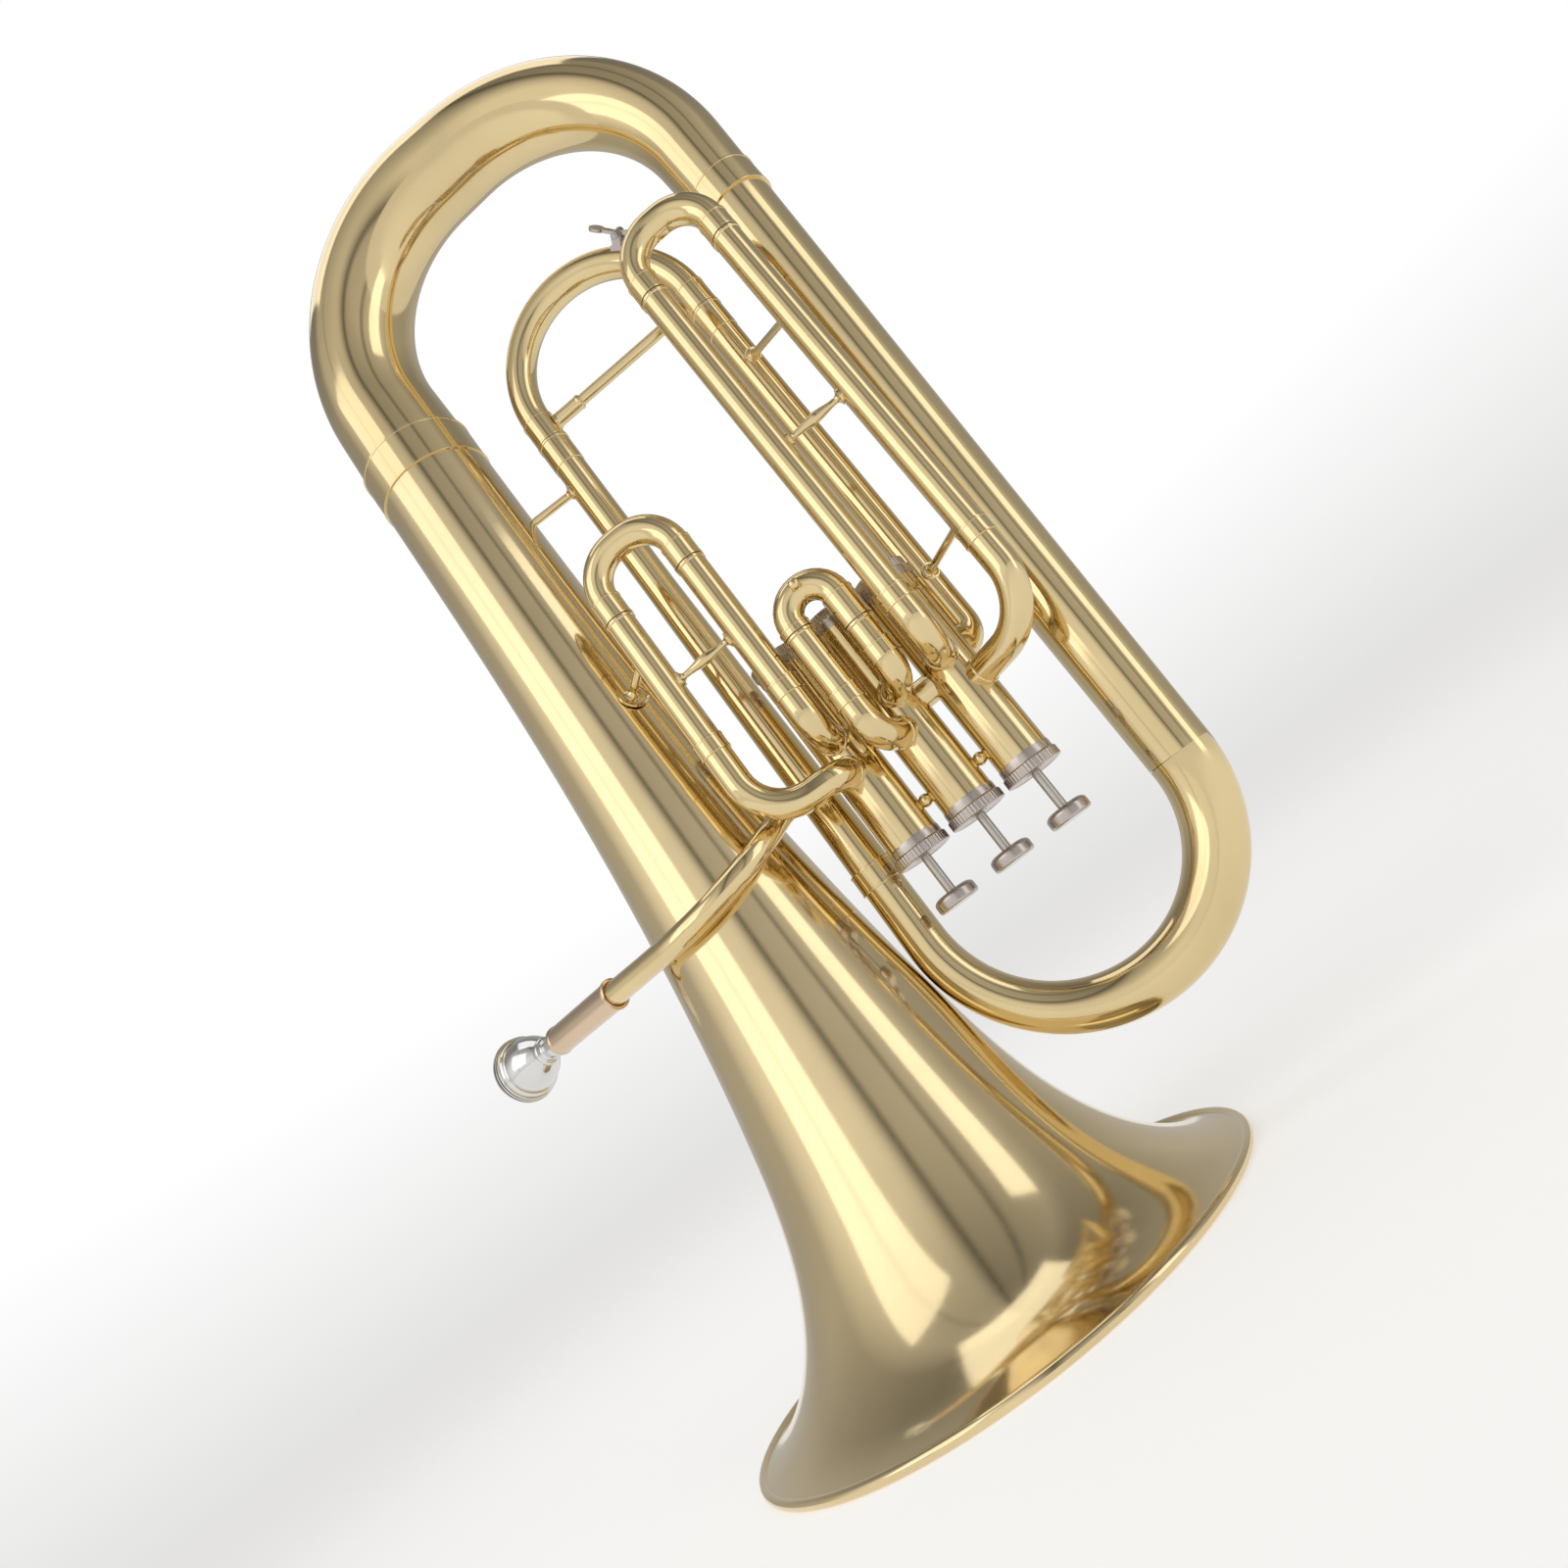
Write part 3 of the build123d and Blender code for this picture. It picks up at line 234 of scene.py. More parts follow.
def soften(outline, radius, steps=3):
    """A closed outline of (along, radius) points with its corners rounded; points on the axis stay."""
    rounded = []
    for index, point in enumerate(outline):
        corner = Vector(point[:2])
        before = Vector(outline[index - 1][:2]) - corner
        after = Vector(outline[(index + 1) % len(outline)][:2]) - corner
        straight = before.length < 1e-6 or after.length < 1e-6 or before.angle(-after) < radians(15)
        if point[1] < 1e-6 or straight:
            rounded.append(tuple(point))
            continue
        reach = min(radius, 0.45 * before.length, 0.45 * after.length)
        start = corner + before.normalized() * reach
        end = corner + after.normalized() * reach
        for step in range(steps + 1):
            way = step / steps
            spot = start * (1 - way) ** 2 + corner * (2 * way * (1 - way)) + end * way ** 2
            rounded.append((spot.x, spot.y, *point[2:]))
    return rounded


def turned(origin, direction, outline, count=72, flutes=0):
    """Rings of a turned shape from (along, radius) points; a third value is how deep the flutes are there."""
    direction = Vector(direction).normalized()
    first, second = across_of(direction)
    rings = []
    for point in outline:
        centre = Vector(origin) + direction * point[0]
        depth = point[2] if len(point) > 2 else 0.0
        ring = []
        for index in range(count):
            angle = 2 * pi * index / count
            reach = point[1] + depth * cos(flutes * angle)
            ring.append(centre + (first * cos(angle) + second * sin(angle)) * reach)
        rings.append(ring)
    return rings


def band(origin, direction, length, outer, inner, edge=0.25, bead=0.0):
    """A turned sleeve with softened edges and, if wanted, a raised bead at each end."""
    if bead:
        width = min(1.3, length / 4)
        outline = [(0, outer + bead), (width, outer + bead), (width, outer), (length - width, outer),
                   (length - width, outer + bead), (length, outer + bead), (length, inner), (0, inner)]
    else:
        outline = [(0, outer), (length, outer), (length, inner), (0, inner)]
    return turned(origin, direction, soften(outline, edge))


def smooth_line(points, count):
    """Points on the smooth curve through a few given ones, evenly spread."""
    points = np.array(points, float)
    places = np.concatenate([[0], np.cumsum(np.linalg.norm(np.diff(points, axis=0), axis=1))])
    size = len(points)
    gaps = np.diff(places)
    system = np.eye(size)
    pull = np.zeros(points.shape)
    for row in range(1, size - 1):
        system[row, row - 1:row + 2] = gaps[row - 1], 2 * (gaps[row - 1] + gaps[row]), gaps[row]
        slope_before = (points[row] - points[row - 1]) / gaps[row - 1]
        slope_after = (points[row + 1] - points[row]) / gaps[row]
        pull[row] = 6 * (slope_after - slope_before)
    bend = np.linalg.solve(system, pull)
    found = []
    for place in np.linspace(0, places[-1], count):
        row = min(int(np.searchsorted(places, place, side="right")) - 1, size - 2)
        gap, left, right = gaps[row], places[row + 1] - place, place - places[row]
        spot = (bend[row] * left ** 3 + bend[row + 1] * right ** 3) / (6 * gap)
        spot = spot + (points[row] / gap - bend[row] * gap / 6) * left
        spot = spot + (points[row + 1] / gap - bend[row + 1] * gap / 6) * right
        found.append(tuple(spot))
    return found


def bend_route(corners, bends, step=2.5):
    """Stations (point, direction) along straight runs joined by arcs."""
    corners = [Vector(corner) for corner in corners]
    stations = [(corners[0], (corners[1] - corners[0]).normalized())]
    for before, corner, after, bend in zip(corners, corners[1:], corners[2:], bends):
        arriving = (corner - before).normalized()
        leaving = (after - corner).normalized()
        turn = arriving.angle(leaving)
        start = corner - arriving * bend * tan(turn / 2)
        side = (leaving - arriving * cos(turn)).normalized()
        steps = max(8, int(bend * turn / step))
        for index in range(steps + 1):
            angle = turn * index / steps
            point = start + arriving * bend * sin(angle) + side * bend * (1 - cos(angle))
            stations.append((point, arriving * cos(angle) + side * sin(angle)))
    stations.append((corners[-1], (corners[-1] - corners[-2]).normalized()))
    kept = stations[:1]
    for station in stations[1:]:
        if (station[0] - kept[-1][0]).length > 0.05:
            kept.append(station)
    return kept


def onto_casing(ring, axis, direction, radius):
    """A ring about a point on a casing's axis, moved back against its direction onto the casing's curve."""
    lateral = direction.cross(UP).normalized()
    return [point - direction * sqrt(radius ** 2 - (point - axis).dot(lateral) ** 2) for point in ring]


def pipe(stations, radius, wall, count=56, casing=None):
    """Rings of a bent tube, outside then inside. Its radius is a number or a function of the way along.

    With a casing, the tube's last station is on that casing's axis, and its end is cut to the casing's curve.
    """
    lengths = [0.0]
    for here, there in zip(stations, stations[1:]):
        lengths.append(lengths[-1] + (there[0] - here[0]).length)
    first, _ = across_of(stations[0][1])
    angles = [2 * pi * index / count for index in range(count)]
    outside, inside = [], []
    previous = stations[0][1]
    for (centre, direction), length in zip(stations, lengths):
        first = previous.rotation_difference(direction) @ first
        first = (first - direction * first.dot(direction)).normalized()
        second = direction.cross(first)
        previous = direction
        size = radius(length / lengths[-1]) if callable(radius) else radius
        for rings, reach in ((outside, size), (inside, size - wall)):
            rings.append([centre + (first * cos(angle) + second * sin(angle)) * reach for angle in angles])
    if casing is not None:
        for rings in (outside, inside):
            rings[-1] = onto_casing(rings[-1], *stations[-1], casing)
    return outside + inside[::-1]


def port_collar(valve, towards, height, outer):
    """The soldered ring round a tube where it meets its casing."""
    axis = Vector((VALVE_X[valve], VALVE_Y, height))
    inward = Vector((axis.x - towards[0], axis.y - towards[1], 0)).normalized()
    # How far from the valve's axis each ring stands, and how much wider than the tube it is.
    profile = [(16.6, 0.25), (16.2, 0.6), (15.9, 0.75), (0.0, 0.75)]
    outside, inside = [], []
    for reach, wider in profile:
        centre = axis - inward * reach
        short = pipe([(centre, inward), (centre + inward * 0.01, inward)], outer + wider, wider + 0.4)
        outside.append(short[0])
        inside.append(short[-1])
    for rings in (outside, inside):
        rings[-1] = onto_casing(rings[-1], axis, inward, CASING_R - 0.3)
    return outside + inside[::-1]


def piece(name, shells, material, body, *nodes):
    """One finished mesh from closed shells of rings, riding on a body, in place of any CAD nodes named."""
    vertices, faces = [], []
    for rings in shells:
        base, count, total = len(vertices), len(rings[0]), len(rings)
        for ring in rings:
            vertices.extend(point * MM for point in ring)
        for row in range(total):
            for column in range(count):
                here, beside = base + row * count, base + (row + 1) % total * count
                after = (column + 1) % count
                faces.append((here + column, here + after, beside + after, beside + column))
    mesh = bpy.data.meshes.new(name)
    mesh.from_pydata(vertices, [], faces)
    work = bmesh.new()
    work.from_mesh(mesh)
    bmesh.ops.remove_doubles(work, verts=work.verts, dist=1e-7)
    bmesh.ops.dissolve_degenerate(work, edges=work.edges, dist=1e-8)
    loose = [edge for edge in work.edges if not edge.link_faces]
    bmesh.ops.delete(work, geom=loose, context="EDGES")
    bmesh.ops.recalc_face_normals(work, faces=work.faces)
    work.to_mesh(mesh)
    work.free()
    mesh.shade_smooth()
    mesh.set_sharp_from_angle(angle=radians(48))
    made = bpy.data.objects.new(name, mesh)
    scene.collection.objects.link(made)
    mesh.materials.append(material)
    weighted = made.modifiers.new("even_shading", "WEIGHTED_NORMAL")
    weighted.keep_sharp = True
    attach(made, body)
    if nodes:
        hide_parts(*nodes)
    return made


# ---------------------------------------------------------------- bell, bows and branches
def make_bell():
    outline = smooth_line(BELL_OUTLINE, 150)
    inner = []
    for index, (reach, height) in enumerate(outline):
        before, after = outline[max(index - 1, 0)], outline[min(index + 1, len(outline) - 1)]
        wider, higher = after[0] - before[0], after[1] - before[1]
        run = hypot(wider, higher)
        inner.append((reach - SHEET * higher / run, height + SHEET * wider / run))
    loop = [(height, reach) for reach, height in outline] + [(height, reach) for reach, height in inner[::-1]]
    piece("bell_sheet", [turned((0, 0, 0), UP, loop, count=192)], BELL_BRASS, "instrument", "bell")

    # The sheet is rolled over the wire; the roll's underside stays just above the floor.
    roll, middle, lowest, steps = RIM_WIRE_R + 0.2, RIM_R - 0.2, 0.05, 36
    rim = []
    for step in range(steps):
        angle = 2 * pi * step / steps
        rim.append((max(roll * (1 + sin(angle)), lowest), middle + roll * cos(angle)))
    piece("bell_rim", [turned((0, 0, 0), UP, rim, count=192)], BELL_BRASS, "instrument", "bell_rim_wire")


def make_bottom_bow():
    corners = [(0, 0, BELL_TOP), (0, 0, BOW_SHOULDER + BOW_BEND), (BRANCH_X, 0, BOW_SHOULDER + BOW_BEND),
               (BRANCH_X, 0, BRANCH_TOP)]
    start = BELL_END_R - 0.4
    bow = pipe(bend_route(corners, (BOW_BEND, BOW_BEND)),
               lambda way: start - (start - BRANCH_TOP_R) * way, SHEET, count=96)
    piece("bow_tube", [bow], BRASS, "instrument", "bottom_bow")
    low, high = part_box("bell_ferrule")
    length = (high.z - low.z) / MM
    piece("bell_ferrule_band",
          [band((0, 0, low.z / MM), UP, length, BELL_END_R + 0.7, BELL_END_R - 0.5, 0.2, 0.35)],
          BRASS, "instrument", "bell_ferrule")
    low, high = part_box("branch_ferrule")
    length = (high.z - low.z) / MM
    piece("branch_ferrule_band",
          [band((BRANCH_X, 0, low.z / MM), UP, length, BRANCH_TOP_R + 0.8, BRANCH_TOP_R - 0.5, 0.2, 0.35)],
          BRASS, "instrument", "branch_ferrule")


def make_branches():
    line = bend_route([(BRANCH_X, 0, BRANCH_TOP), (BRANCH_FOOT_X, 0, BRANCH_FOOT_Z)], ())
    piece("outer_branch_tube",
          [pipe(line, lambda way: BRANCH_TOP_R + (BRANCH_FOOT_R - BRANCH_TOP_R) * way, SHEET, count=96)],
          BRASS, "instrument", "outer_branch")

    bend, middle = (BRANCH_FOOT_X - RETURN_X) / 2, (BRANCH_FOOT_X + RETURN_X) / 2
    steps = 72
    stations = []
    for step in range(steps + 1):
        turn = pi * step / steps
        centre = (middle + bend * cos(turn), RETURN_Y * step / steps, BRANCH_FOOT_Z - bend * sin(turn))
        stations.append((Vector(centre), Vector((-sin(turn), 0, -cos(turn)))))
    stations.append((Vector((RETURN_X, RETURN_Y, RETURN_FERRULE_Z)), UP))
    arc = pi * bend / (pi * bend + RETURN_FERRULE_Z - BRANCH_FOOT_Z)

    def narrowing(way):
        if way < arc:
            return BRANCH_FOOT_R + (RETURN_FOOT_R - BRANCH_FOOT_R) * way / arc
        return RETURN_FOOT_R + (RETURN_FERRULE_R - RETURN_FOOT_R) * (way - arc) / (1 - arc)

    piece("upper_bow_tube", [pipe(stations, narrowing, SHEET, count=80)], BRASS, "instrument", "upper_bow")
    low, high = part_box("upper_bow_ferrule")
    piece("upper_bow_ferrule_band",
          [band((RETURN_X, RETURN_Y, low.z / MM), UP, (high.z - low.z) / MM, RETURN_FERRULE_R + 1.0,
                RETURN_FERRULE_R - 0.5, 0.3, 0.3)], BRASS, "instrument", "upper_bow_ferrule")
    line = bend_route([(RETURN_X, RETURN_Y, RETURN_FERRULE_Z),
                       (TUNING_X[0], RETURN_Y, TUNING_SLEEVE_FOOT[0])], ())
    piece("return_branch_tube",
          [pipe(line, lambda way: RETURN_FERRULE_R + (TUNING_R - RETURN_FERRULE_R) * way, THIN_SHEET)],
          BRASS, "instrument", "return_branch")


# ---------------------------------------------------------------- valves
def make_valves():
    foot, top = CASING_Z
    thick = BUTTON_Z[1] - BUTTON_Z[0]
    seat_r, seat_depth = 7.7, 0.6
    for number, x in enumerate(VALVE_X, start=1):
        piece(f"casing_{number}", [band((x, VALVE_Y, foot), UP, top - foot, CASING_R, CASING_BORE, 0.3)],
              BRASS, "instrument", f"valve_casing_{number}")
        outline = [(seat_depth, 0.0), (seat_depth, seat_r), (0.0, seat_r), (0.0, BUTTON_R),
                   (thick - 1.6, BUTTON_R), (thick, BUTTON_R - 2.6), (thick, 4.6), (thick, 0.0)]
        piece(f"button_{number}", [turned((x, VALVE_Y, BUTTON_Z[0]), UP, soften(outline, 1.6, 5))], NICKEL,
              f"valve_{number}", f"finger_button_{number}")
        disc = soften([(0.05, 0.0), (0.05, 7.4), (0.58, 7.6), (0.58, 0.0)], 0.2)
        piece(f"button_inlay_{number}", [turned((x, VALVE_Y, BUTTON_Z[0]), UP, disc)], PEARL,
              f"valve_{number}")

    # Both kinds of cap have the same fluted skirt; the far ones face the other way and have a raised vent.
    flute, stem_hole, vent, inner_face = 0.16, 2.68, 1.6, CAP_FACE - 0.1
    skirt = [(0.0, CAP_R - 1.6), (0.6, CAP_R, flute), (5.2, CAP_R, flute), (5.9, CAP_R - 0.8),
             (CAP_HEIGHT - 1.2, CAP_R - 0.8), (CAP_HEIGHT, CAP_R - 1.1), (CAP_HEIGHT, CASING_R),
             (inner_face, CASING_R)]
    near = [(0, stem_hole), (0, 5.2), (0.5, 5.8), (0.5, CAP_R - 2.4), *skirt, (inner_face, stem_hole)]
    far = [(3.0, vent), (3.0, 3.0), (2.6, 3.6), (0.2, 4.8), (-0.1, CAP_R - 2.4),
           *[(-along, *rest) for along, *rest in skirt], (-inner_face, vent)]
    stem_caps, far_caps = [[turned((x, VALVE_Y, height), UP, soften(outline, 0.35), count=200, flutes=50)
                            for x in VALVE_X]
                           for height, outline in ((foot - CAP_FACE, near), (top + CAP_FACE, far))]
    piece("stem_caps", stem_caps, NICKEL, "instrument", "valve_top_caps")
    piece("far_caps", far_caps, NICKEL, "instrument", "valve_bottom_caps")


def make_springs():
    """Each spring is a fixed coil of wire that rides on its valve."""
    coil, wire, turns, steps = 9.0, 0.7, 6.5, 168
    foot, rise = 279.9, 30.2
    for number, x in enumerate(VALVE_X, start=1):
        stations = []
        for step in range(steps + 1):
            angle = 2 * pi * turns * step / steps
            centre = (x + coil * cos(angle), VALVE_Y + coil * sin(angle), foot + rise * step / steps)
            direction = Vector((-sin(angle) * coil, cos(angle) * coil, rise / (2 * pi * turns))).normalized()
            stations.append((Vector(centre), direction))
        spring = piece(f"spring_{number}", [pipe(stations, wire, wire, count=10)], STEEL, f"valve_{number}",
                       f"valve_spring_{number}")
        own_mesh(spring)


# ---------------------------------------------------------------- slides
def sleeve_shell(x, y, foot, top, outer, bore, mouth):
    """A slide's outer tube with a rolled bead at its mouth."""
    length = top - foot
    outline = [(0, outer), (length - 1.9, outer), (length - 1.6, mouth), (length - 0.1, mouth),
               (length, bore + 0.1), (length - 0.3, bore), (0, bore)]
    return turned((x, y, foot), UP, soften(outline, 0.3))


def crook_line(left, right, y, foot, bend):
    """The stations of a crook: up one leg, over and down the other."""
    corners = [(left, y, foot), (left, y, foot + bend), (right, y, foot + bend), (right, y, foot)]
    return bend_route(corners, (bend, bend))


def elbow_shells(valve, leg, foot, height, bend, outer=SLEEVE_R, bore=INNER_BORE, turn=None, joint=True):
    """A bent tube from a sleeve's foot into a casing, with its collar and the ferrule at the sleeve."""
    corners, bends = [(*leg, foot), (*leg, height)], [bend]
    if turn is not None:
        corners.append((*turn, height))
        bends.append(TURN_BEND)
    towards = corners[-1]
    corners.append((VALVE_X[valve], VALVE_Y, height))
    shells = [pipe(bend_route(corners, bends), outer, outer - bore, casing=CASING_R - 0.25),
              port_collar(valve, towards, height, outer)]
    if joint:
        below, length = 5.0, 9.0
        shells.append(band((*leg, foot - below), UP, length, FERRULE_R, outer - 0.4, 0.3, 0.25))
    return shells


def make_slide(name, legs, feet, tops, crook_z, bend):
    """A slide's sleeves and ferrules, and the shell of its crook."""
    sleeves = [sleeve_shell(*leg, foot, top, SLEEVE_R, SLEEVE_BORE, FERRULE_R)
               for leg, foot, top in zip(legs, feet, tops)]
    piece(f"{name}_outer_tubes", sleeves, BRASS, "instrument", f"{name}_slide_sleeves")
    bands = [band((*leg, top + SLIDE_GAP), UP, crook_z - top - SLIDE_GAP, FERRULE_R - 0.15, 7.15, 0.25, 0.3)
             for leg, top in zip(legs, tops)]
    piece(f"{name}_ferrules", bands, BRASS, f"{name}_slide", f"{name}_slide_ferrules")
    (left, y), (right, _) = legs
    return pipe(crook_line(left, right, y, crook_z, bend), SLEEVE_R, SLEEVE_R - INNER_BORE)


def make_slides():
    first = [(x, SLIDE_Y) for x in FIRST_X]
    second = [(x, SLIDE_Y) for x in SECOND_X]
    third = [(x, THIRD_Y) for x in THIRD_X]

    bow = make_slide("first", first, FIRST_FEET, FIRST_TOPS, FIRST_CROOK_Z, CROOK_BEND)
    piece("first_crook", [bow], BRASS, "first_slide", "first_slide_crook")
    elbows = (elbow_shells(0, first[0], FIRST_FEET[0], LOW_PORT_Z, 26.0, turn=FIRST_TURN)
              + elbow_shells(0, first[1], FIRST_FEET[1], HIGH_PORT_Z, 17.0))
    piece("first_elbows", elbows, BRASS, "instrument", "first_slide_elbows")

    bend = (SECOND_X[1] - SECOND_X[0]) / 2
    bow = make_slide("second", second, SECOND_FEET, SECOND_TOPS, SECOND_CROOK_Z, bend)
    crown = Vector((sum(SECOND_X) / 2, SLIDE_Y - SLEEVE_R, SECOND_CROOK_Z + bend))
    knob = [(-0.6, 0.0), (-0.6, 2.6), (0.5, 1.7), (1.2, 1.6), (2.0, 2.5), (3.6, 3.0), (5.2, 2.5), (6.2, 1.2),
            (6.4, 0.0)]
    piece("second_crook", [bow, turned(crown, (0, -1, 0), smooth_line(knob, 30))], BRASS, "second_slide",
          "second_slide_crook")
    elbows = (elbow_shells(1, second[0], SECOND_FEET[0], LOW_PORT_Z, 15.0)
              + elbow_shells(1, second[1], SECOND_FEET[1], HIGH_PORT_Z, 13.0))
    piece("second_elbows", elbows, BRASS, "instrument", "second_slide_elbows")

    bow = make_slide("third", third, THIRD_FEET, THIRD_TOPS, THIRD_CROOK_Z, CROOK_BEND)
    piece("third_crook", [bow], BRASS, "third_slide", "third_slide_crook")
    elbows = (elbow_shells(2, third[0], THIRD_FEET[0], HIGH_PORT_Z, 18.0)
              + elbow_shells(2, third[1], THIRD_FEET[1], LOW_PORT_Z, 30.0))
    piece("third_elbows", elbows, BRASS, "instrument", "third_slide_elbows")


def make_tuning_slide():
    sleeve_bore, band_bore = 8.06, 8.02
    sleeves = []
    for x, foot in zip(TUNING_X, TUNING_SLEEVE_FOOT):
        length, thick = TUNING_SLEEVE_TOP - foot, TUNING_R + 0.45
        outline = [(0, TUNING_R), (length - 18.0, TUNING_R), (length - 17.8, thick), (length - 1.4, thick),
                   (length - 1.3, thick + 0.45), (length, thick + 0.45), (length, sleeve_bore),
                   (0, sleeve_bore)]
        sleeves.append(turned((x, RETURN_Y, foot), UP, soften(outline, 0.25)))
    piece("tuning_outer_tubes", sleeves, BRASS, "instrument", "tuning_slide_sleeves")
    start = TUNING_SLEEVE_TOP + SLIDE_GAP
    bands = [band((x, RETURN_Y, start), UP, TUNING_CROOK_Z - start, TUNING_R + 0.4, band_bore, 0.25, 0.35)
             for x in TUNING_X]
    piece("tuning_ferrules", bands, BRASS, "tuning_slide", "tuning_slide_ferrules")
    span = TUNING_X[1] - TUNING_X[0]
    line = crook_line(*TUNING_X, RETURN_Y, TUNING_CROOK_Z, span / 2)
    piece("tuning_crook", [pipe(line, TUNING_R, TUNING_R - TUNING_BORE, count=64)], BRASS, "tuning_slide",
          "tuning_slide_crook")
    rod = [(8.6, 0.0), (8.6, 5.2), (10.0, 4.4), (11.5, 4.1), (25.5, 4.1), (26.4, 4.5), (27.4, 4.2),
           (28.0, 3.2), (span - 12.0, 3.2), (span - 10.6, 3.6), (span - 9.4, 4.6), (span - 8.6, 4.6),
           (span - 8.6, 0.0)]
    piece("tuning_brace", [turned((TUNING_X[0], RETURN_Y, TUNING_BRACE_Z), (1, 0, 0), soften(rod, 0.4))],
          BRASS, "tuning_slide", "tuning_slide_brace")
    piece("exit_elbow", elbow_shells(2, (TUNING_X[1], RETURN_Y), TUNING_SLEEVE_FOOT[1], EXIT_PORT_Z, 10.5,
                                     outer=TUNING_R, bore=TUNING_BORE, joint=False),
          BRASS, "instrument", "valve_exit_elbow")


# ---------------------------------------------------------------- leadpipe and mouthpiece
def make_leadpipe():
    along = (LEAD_CORNER - RIM_POINT).normalized()
    start = RIM_POINT + along * (RECEIVER_START + SOCKET_DEPTH)
    port = Vector((VALVE_X[0], VALVE_Y, LEAD_PORT_Z))
    stations = bend_route([start, LEAD_CORNER, LEAD_TURN, port], LEAD_BENDS)
    taper = 60.0
    stations.insert(1, (start + along * taper, along))
    total = sum((there[0] - here[0]).length for here, there in zip(stations, stations[1:]))

    def narrowing(way):
        return LEAD_START_R + (LEAD_R - LEAD_START_R) * min(way * total / taper, 1.0)

    piece("leadpipe_tube", [pipe(stations, narrowing, THIN_SHEET, casing=CASING_R - 0.25),
                            port_collar(0, LEAD_TURN, LEAD_PORT_Z, LEAD_R)], BRASS, "instrument", "leadpipe")
    length = RECEIVER_LENGTH
    outline = [(0, SHANK_LIP_R + 0.1), (0, RECEIVER_R - 0.6), (0.8, RECEIVER_R + 0.4),
               (2.6, RECEIVER_R + 0.4), (3.8, RECEIVER_R), (length - 2.4, RECEIVER_R),
               (length - 2.0, RECEIVER_R + 0.7),
               (length - 0.4, RECEIVER_R + 0.7), (length, LEAD_START_R + 0.1),
               (length - 0.4, LEAD_START_R - 0.2), (SOCKET_DEPTH, LEAD_START_R),
               (SHANK_DEPTH, SHANK_END_R + 0.05)]
    piece("receiver", [turned(RIM_POINT + along * RECEIVER_START, along, soften(outline, 0.4))], ROSE_BRASS,
          "instrument", "mouthpiece_receiver")

    end = RECEIVER_START + SHANK_DEPTH
    rim = smooth_line([(2.4, 12.6), (0.9, 13.4), (0.0, 15.4), (0.5, 17.4), (1.8, 18.6), (3.2, CUP_R)], 18)
    rings = [(3.6, CUP_R), (3.7, CUP_R - 1.1), (4.3, CUP_R - 1.1), (4.4, CUP_R - 0.2),
             (5.5, CUP_R - 0.3), (5.6, CUP_R - 1.3), (6.2, CUP_R - 1.4), (6.3, CUP_R - 0.5),
             (7.3, CUP_R - 0.7), (7.5, CUP_R - 1.8), (9.2, CUP_R - 2.8), (9.3, CUP_R - 2.0),
             (10.4, CUP_R - 2.3), (10.6, CUP_R - 3.2)]
    bowl = smooth_line([(11.0, CUP_R - 3.2), (15.0, 15.2), (20.0, 13.4), (25.0, 10.4), (28.6, 7.4)], 30)
    neck = smooth_line([(29.0, 6.6), (29.6, 7.6), (30.9, 8.0), (32.2, 7.6), (32.8, 6.4), (37.0, 5.9),
                        (RECEIVER_START, 6.5)], 24)
    throat = smooth_line([(31.0, 3.4), (25.0, 4.4), (15.5, 9.6), (7.0, 12.2), (3.4, 12.6)], 26)
    shank = [(RECEIVER_START, SHANK_LIP_R), (end, SHANK_END_R), (end, SHANK_END_R - 1.0)]
    outline = rim + rings + bowl + neck + shank + throat
    piece("mouthpiece_cup", [turned(RIM_POINT, along, outline, count=96)], SILVER, "mouthpiece", "mouthpiece")


# ---------------------------------------------------------------- nodes that keep their CAD shape
def finish_cad_nodes():
    slots = {part["node"]: part["material_slot"] for part in frame["record"]["subparts"]}
    for name, node in frame["nodes"].items():
        if node.hide_render:
            continue
        node.data.materials.clear()
        node.data.materials.append(FINISHES[slots[name]])
        for polygon in node.data.polygons:
            polygon.material_index = 0


# ---------------------------------------------------------------- studio
# How bright the room is, once round: 0 is the left wall, 0.25 the side of the camera, 0.5 the right wall and
# 0.75 the far wall. The narrow dips are gaps between panels, which show as thin dark lines in the brass.
ROOM = [(0.03, 0.72), (0.07, 0.95), (0.13, 0.92), (0.14, 0.62), (0.15, 0.92), (0.235, 0.90), (0.255, 0.80),
        (0.27, 0.52), (0.285, 0.16), (0.30, 0.50), (0.36, 0.55), (0.37, 0.22), (0.385, 0.55), (0.46, 0.66),
        (0.50, 0.44), (0.60, 0.38), (0.68, 0.48), (0.84, 0.50), (0.90, 0.42)]


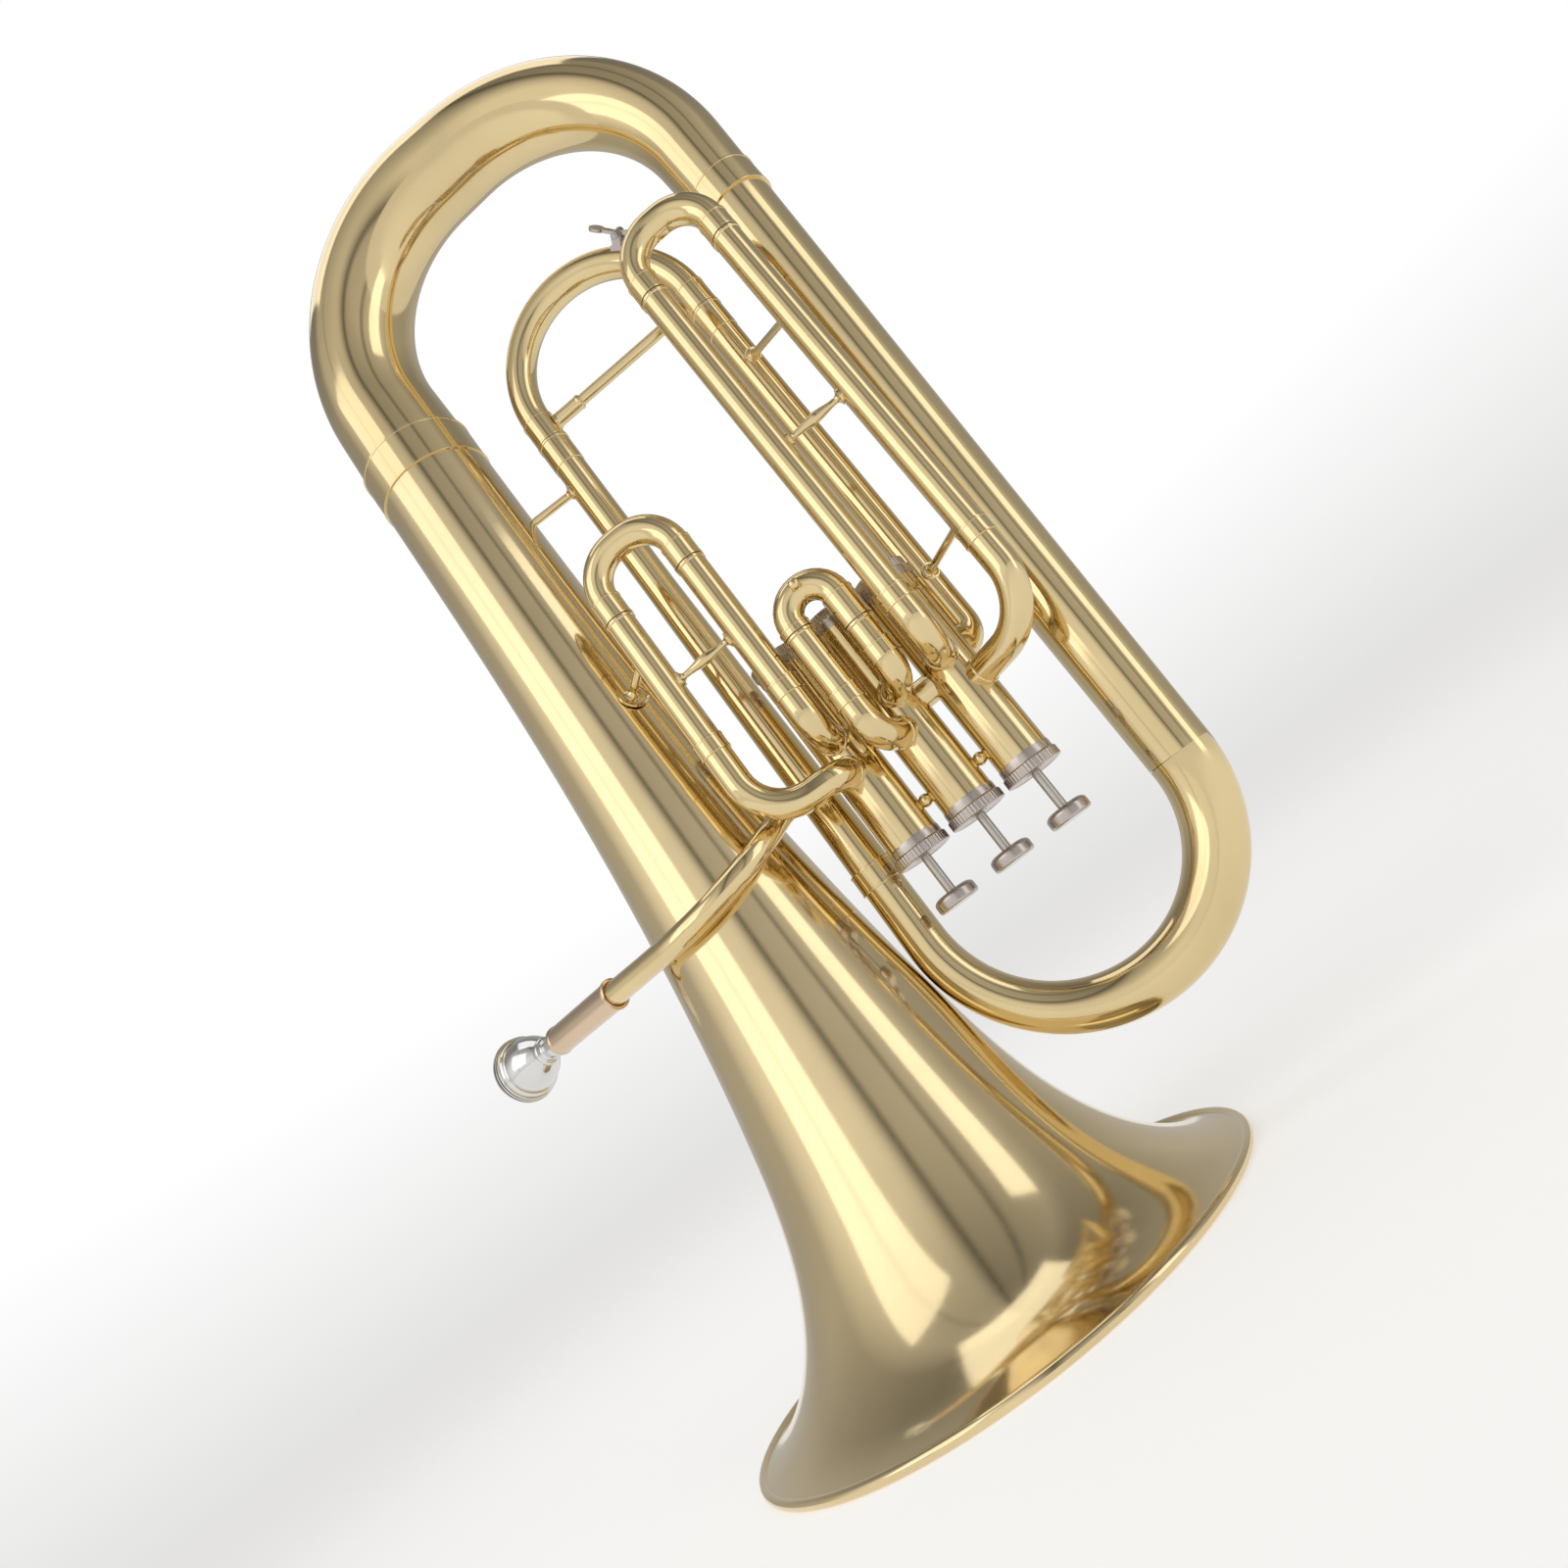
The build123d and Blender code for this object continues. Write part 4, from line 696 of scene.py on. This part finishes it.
def make_room():
    """The world: the brass reflects a room of panels, and the camera sees a pale backdrop instead."""
    scene.view_settings.view_transform = "Standard"
    scene.view_settings.look = "None"
    world = bpy.data.worlds.new("studio")
    scene.world = world
    world.use_nodes = True
    nodes, links = world.node_tree.nodes, world.node_tree.links
    sky = nodes["Background"]
    place = nodes.new("ShaderNodeTexCoord")
    parts = nodes.new("ShaderNodeSeparateXYZ")
    links.new(place.outputs["Generated"], parts.inputs["Vector"])

    around = nodes.new("ShaderNodeTexGradient")
    around.gradient_type = "RADIAL"
    links.new(place.outputs["Generated"], around.inputs["Vector"])
    panels = nodes.new("ShaderNodeValToRGB")
    links.new(around.outputs["Fac"], panels.inputs["Fac"])
    ramp = panels.color_ramp
    for index in (0, 1):
        ramp.elements[index].position = index
        ramp.elements[index].color = (0.50, 0.49, 0.48, 1)
    for turn, level in ROOM:
        ramp.elements.new(turn).color = (level, level * 0.985, level * 0.96, 1)

    def height_ramp(low, low_colour, high, high_colour):
        node = nodes.new("ShaderNodeValToRGB")
        links.new(parts.outputs["Z"], node.inputs["Fac"])
        for element, height, colour in zip(node.color_ramp.elements, (low, high), (low_colour, high_colour)):
            element.position, element.color = height, (*colour, 1)
        return node.outputs["Color"]

    room = nodes.new("ShaderNodeMix")
    room.data_type = "RGBA"
    room.blend_type = "MULTIPLY"
    room.inputs["Factor"].default_value = 1.0
    links.new(panels.outputs["Color"], room.inputs["A"])
    links.new(height_ramp(0.35, (1, 1, 1), 0.95, (0.45, 0.45, 0.45)), room.inputs["B"])
    links.new(room.outputs["Result"], sky.inputs["Color"])
    backdrop = nodes.new("ShaderNodeBackground")
    links.new(height_ramp(0.0, (0.77, 0.77, 0.76), 0.22, (1, 1, 1)), backdrop.inputs["Color"])
    ray = nodes.new("ShaderNodeLightPath")
    seen = nodes.new("ShaderNodeMixShader")
    links.new(ray.outputs["Is Camera Ray"], seen.inputs["Fac"])
    links.new(sky.outputs["Background"], seen.inputs[1])
    links.new(backdrop.outputs["Background"], seen.inputs[2])
    links.new(seen.outputs["Shader"], nodes["World Output"].inputs["Surface"])


def softbox(name, aim, offset, width, height, power):
    """A rectangular lamp beside a point, turned towards it."""
    light = bpy.data.lights.new(name, "AREA")
    light.shape = "RECTANGLE"
    light.size, light.size_y = width, height
    light.energy = power
    lamp = bpy.data.objects.new(name, light)
    scene.collection.objects.link(lamp)
    lamp.location = aim + offset
    lamp.rotation_euler = (aim - lamp.location).to_track_quat("-Z", "Y").to_euler()


def make_lights():
    low, high = cad_box
    middle = (low + high) / 2
    softbox("key_softbox", middle, Vector((-1.1, -1.3, 0.9)), 1.3, 1.6, 5.0)
    softbox("side_softbox", middle, Vector((1.5, -0.7, 0.3)), 0.5, 1.6, 2.2)
    softbox("top_softbox", middle, Vector((0.0, 0.2, 1.7)), 1.4, 1.2, 5.0)


def make_floor():
    """Pale paper with a little glow of its own, close in tone to the backdrop where the two meet."""
    floor = bpy.data.meshes.new("floor")
    reach = 30.0
    floor.from_pydata([(-reach, -reach, 0), (reach, -reach, 0), (reach, reach, 0), (-reach, reach, 0)], [],
                      [(0, 1, 2, 3)])
    floor_object = bpy.data.objects.new("floor", floor)
    scene.collection.objects.link(floor_object)
    paper = bpy.data.materials.new("floor_paper")
    paper.use_nodes = True
    surface = paper.node_tree.nodes["Principled BSDF"]
    surface.inputs["Base Color"].default_value = (0.86, 0.86, 0.86, 1)
    surface.inputs["Roughness"].default_value = 0.9
    surface.inputs["Emission Color"].default_value = (1, 1, 1, 1)
    surface.inputs["Emission Strength"].default_value = 0.42
    floor.materials.append(paper)


def make_camera():
    """The photo's view: a lens, a place and the directions that its right, top and far side point."""
    lens = bpy.data.cameras.new("camera")
    lens.sensor_width = 36.0
    lens.lens = 25.31
    lens.clip_start = 0.01
    camera = bpy.data.objects.new("camera", lens)
    scene.collection.objects.link(camera)
    right = Vector((0.77822, 0.23950, -0.58057))
    up = Vector((0.61406, -0.09638, 0.78337))
    forward = Vector((-0.13166, 0.96610, 0.22206))
    turn = Matrix((right, up, -forward)).transposed().to_4x4()
    camera.matrix_world = Matrix.Translation((0.1353, -0.553, 0.1332)) @ turn
    scene.camera = camera


make_camera()
make_bell()
make_bottom_bow()
make_branches()
make_valves()
make_springs()
make_slides()
make_tuning_slide()
make_leadpipe()
finish_cad_nodes()
make_room()
make_lights()
make_floor()
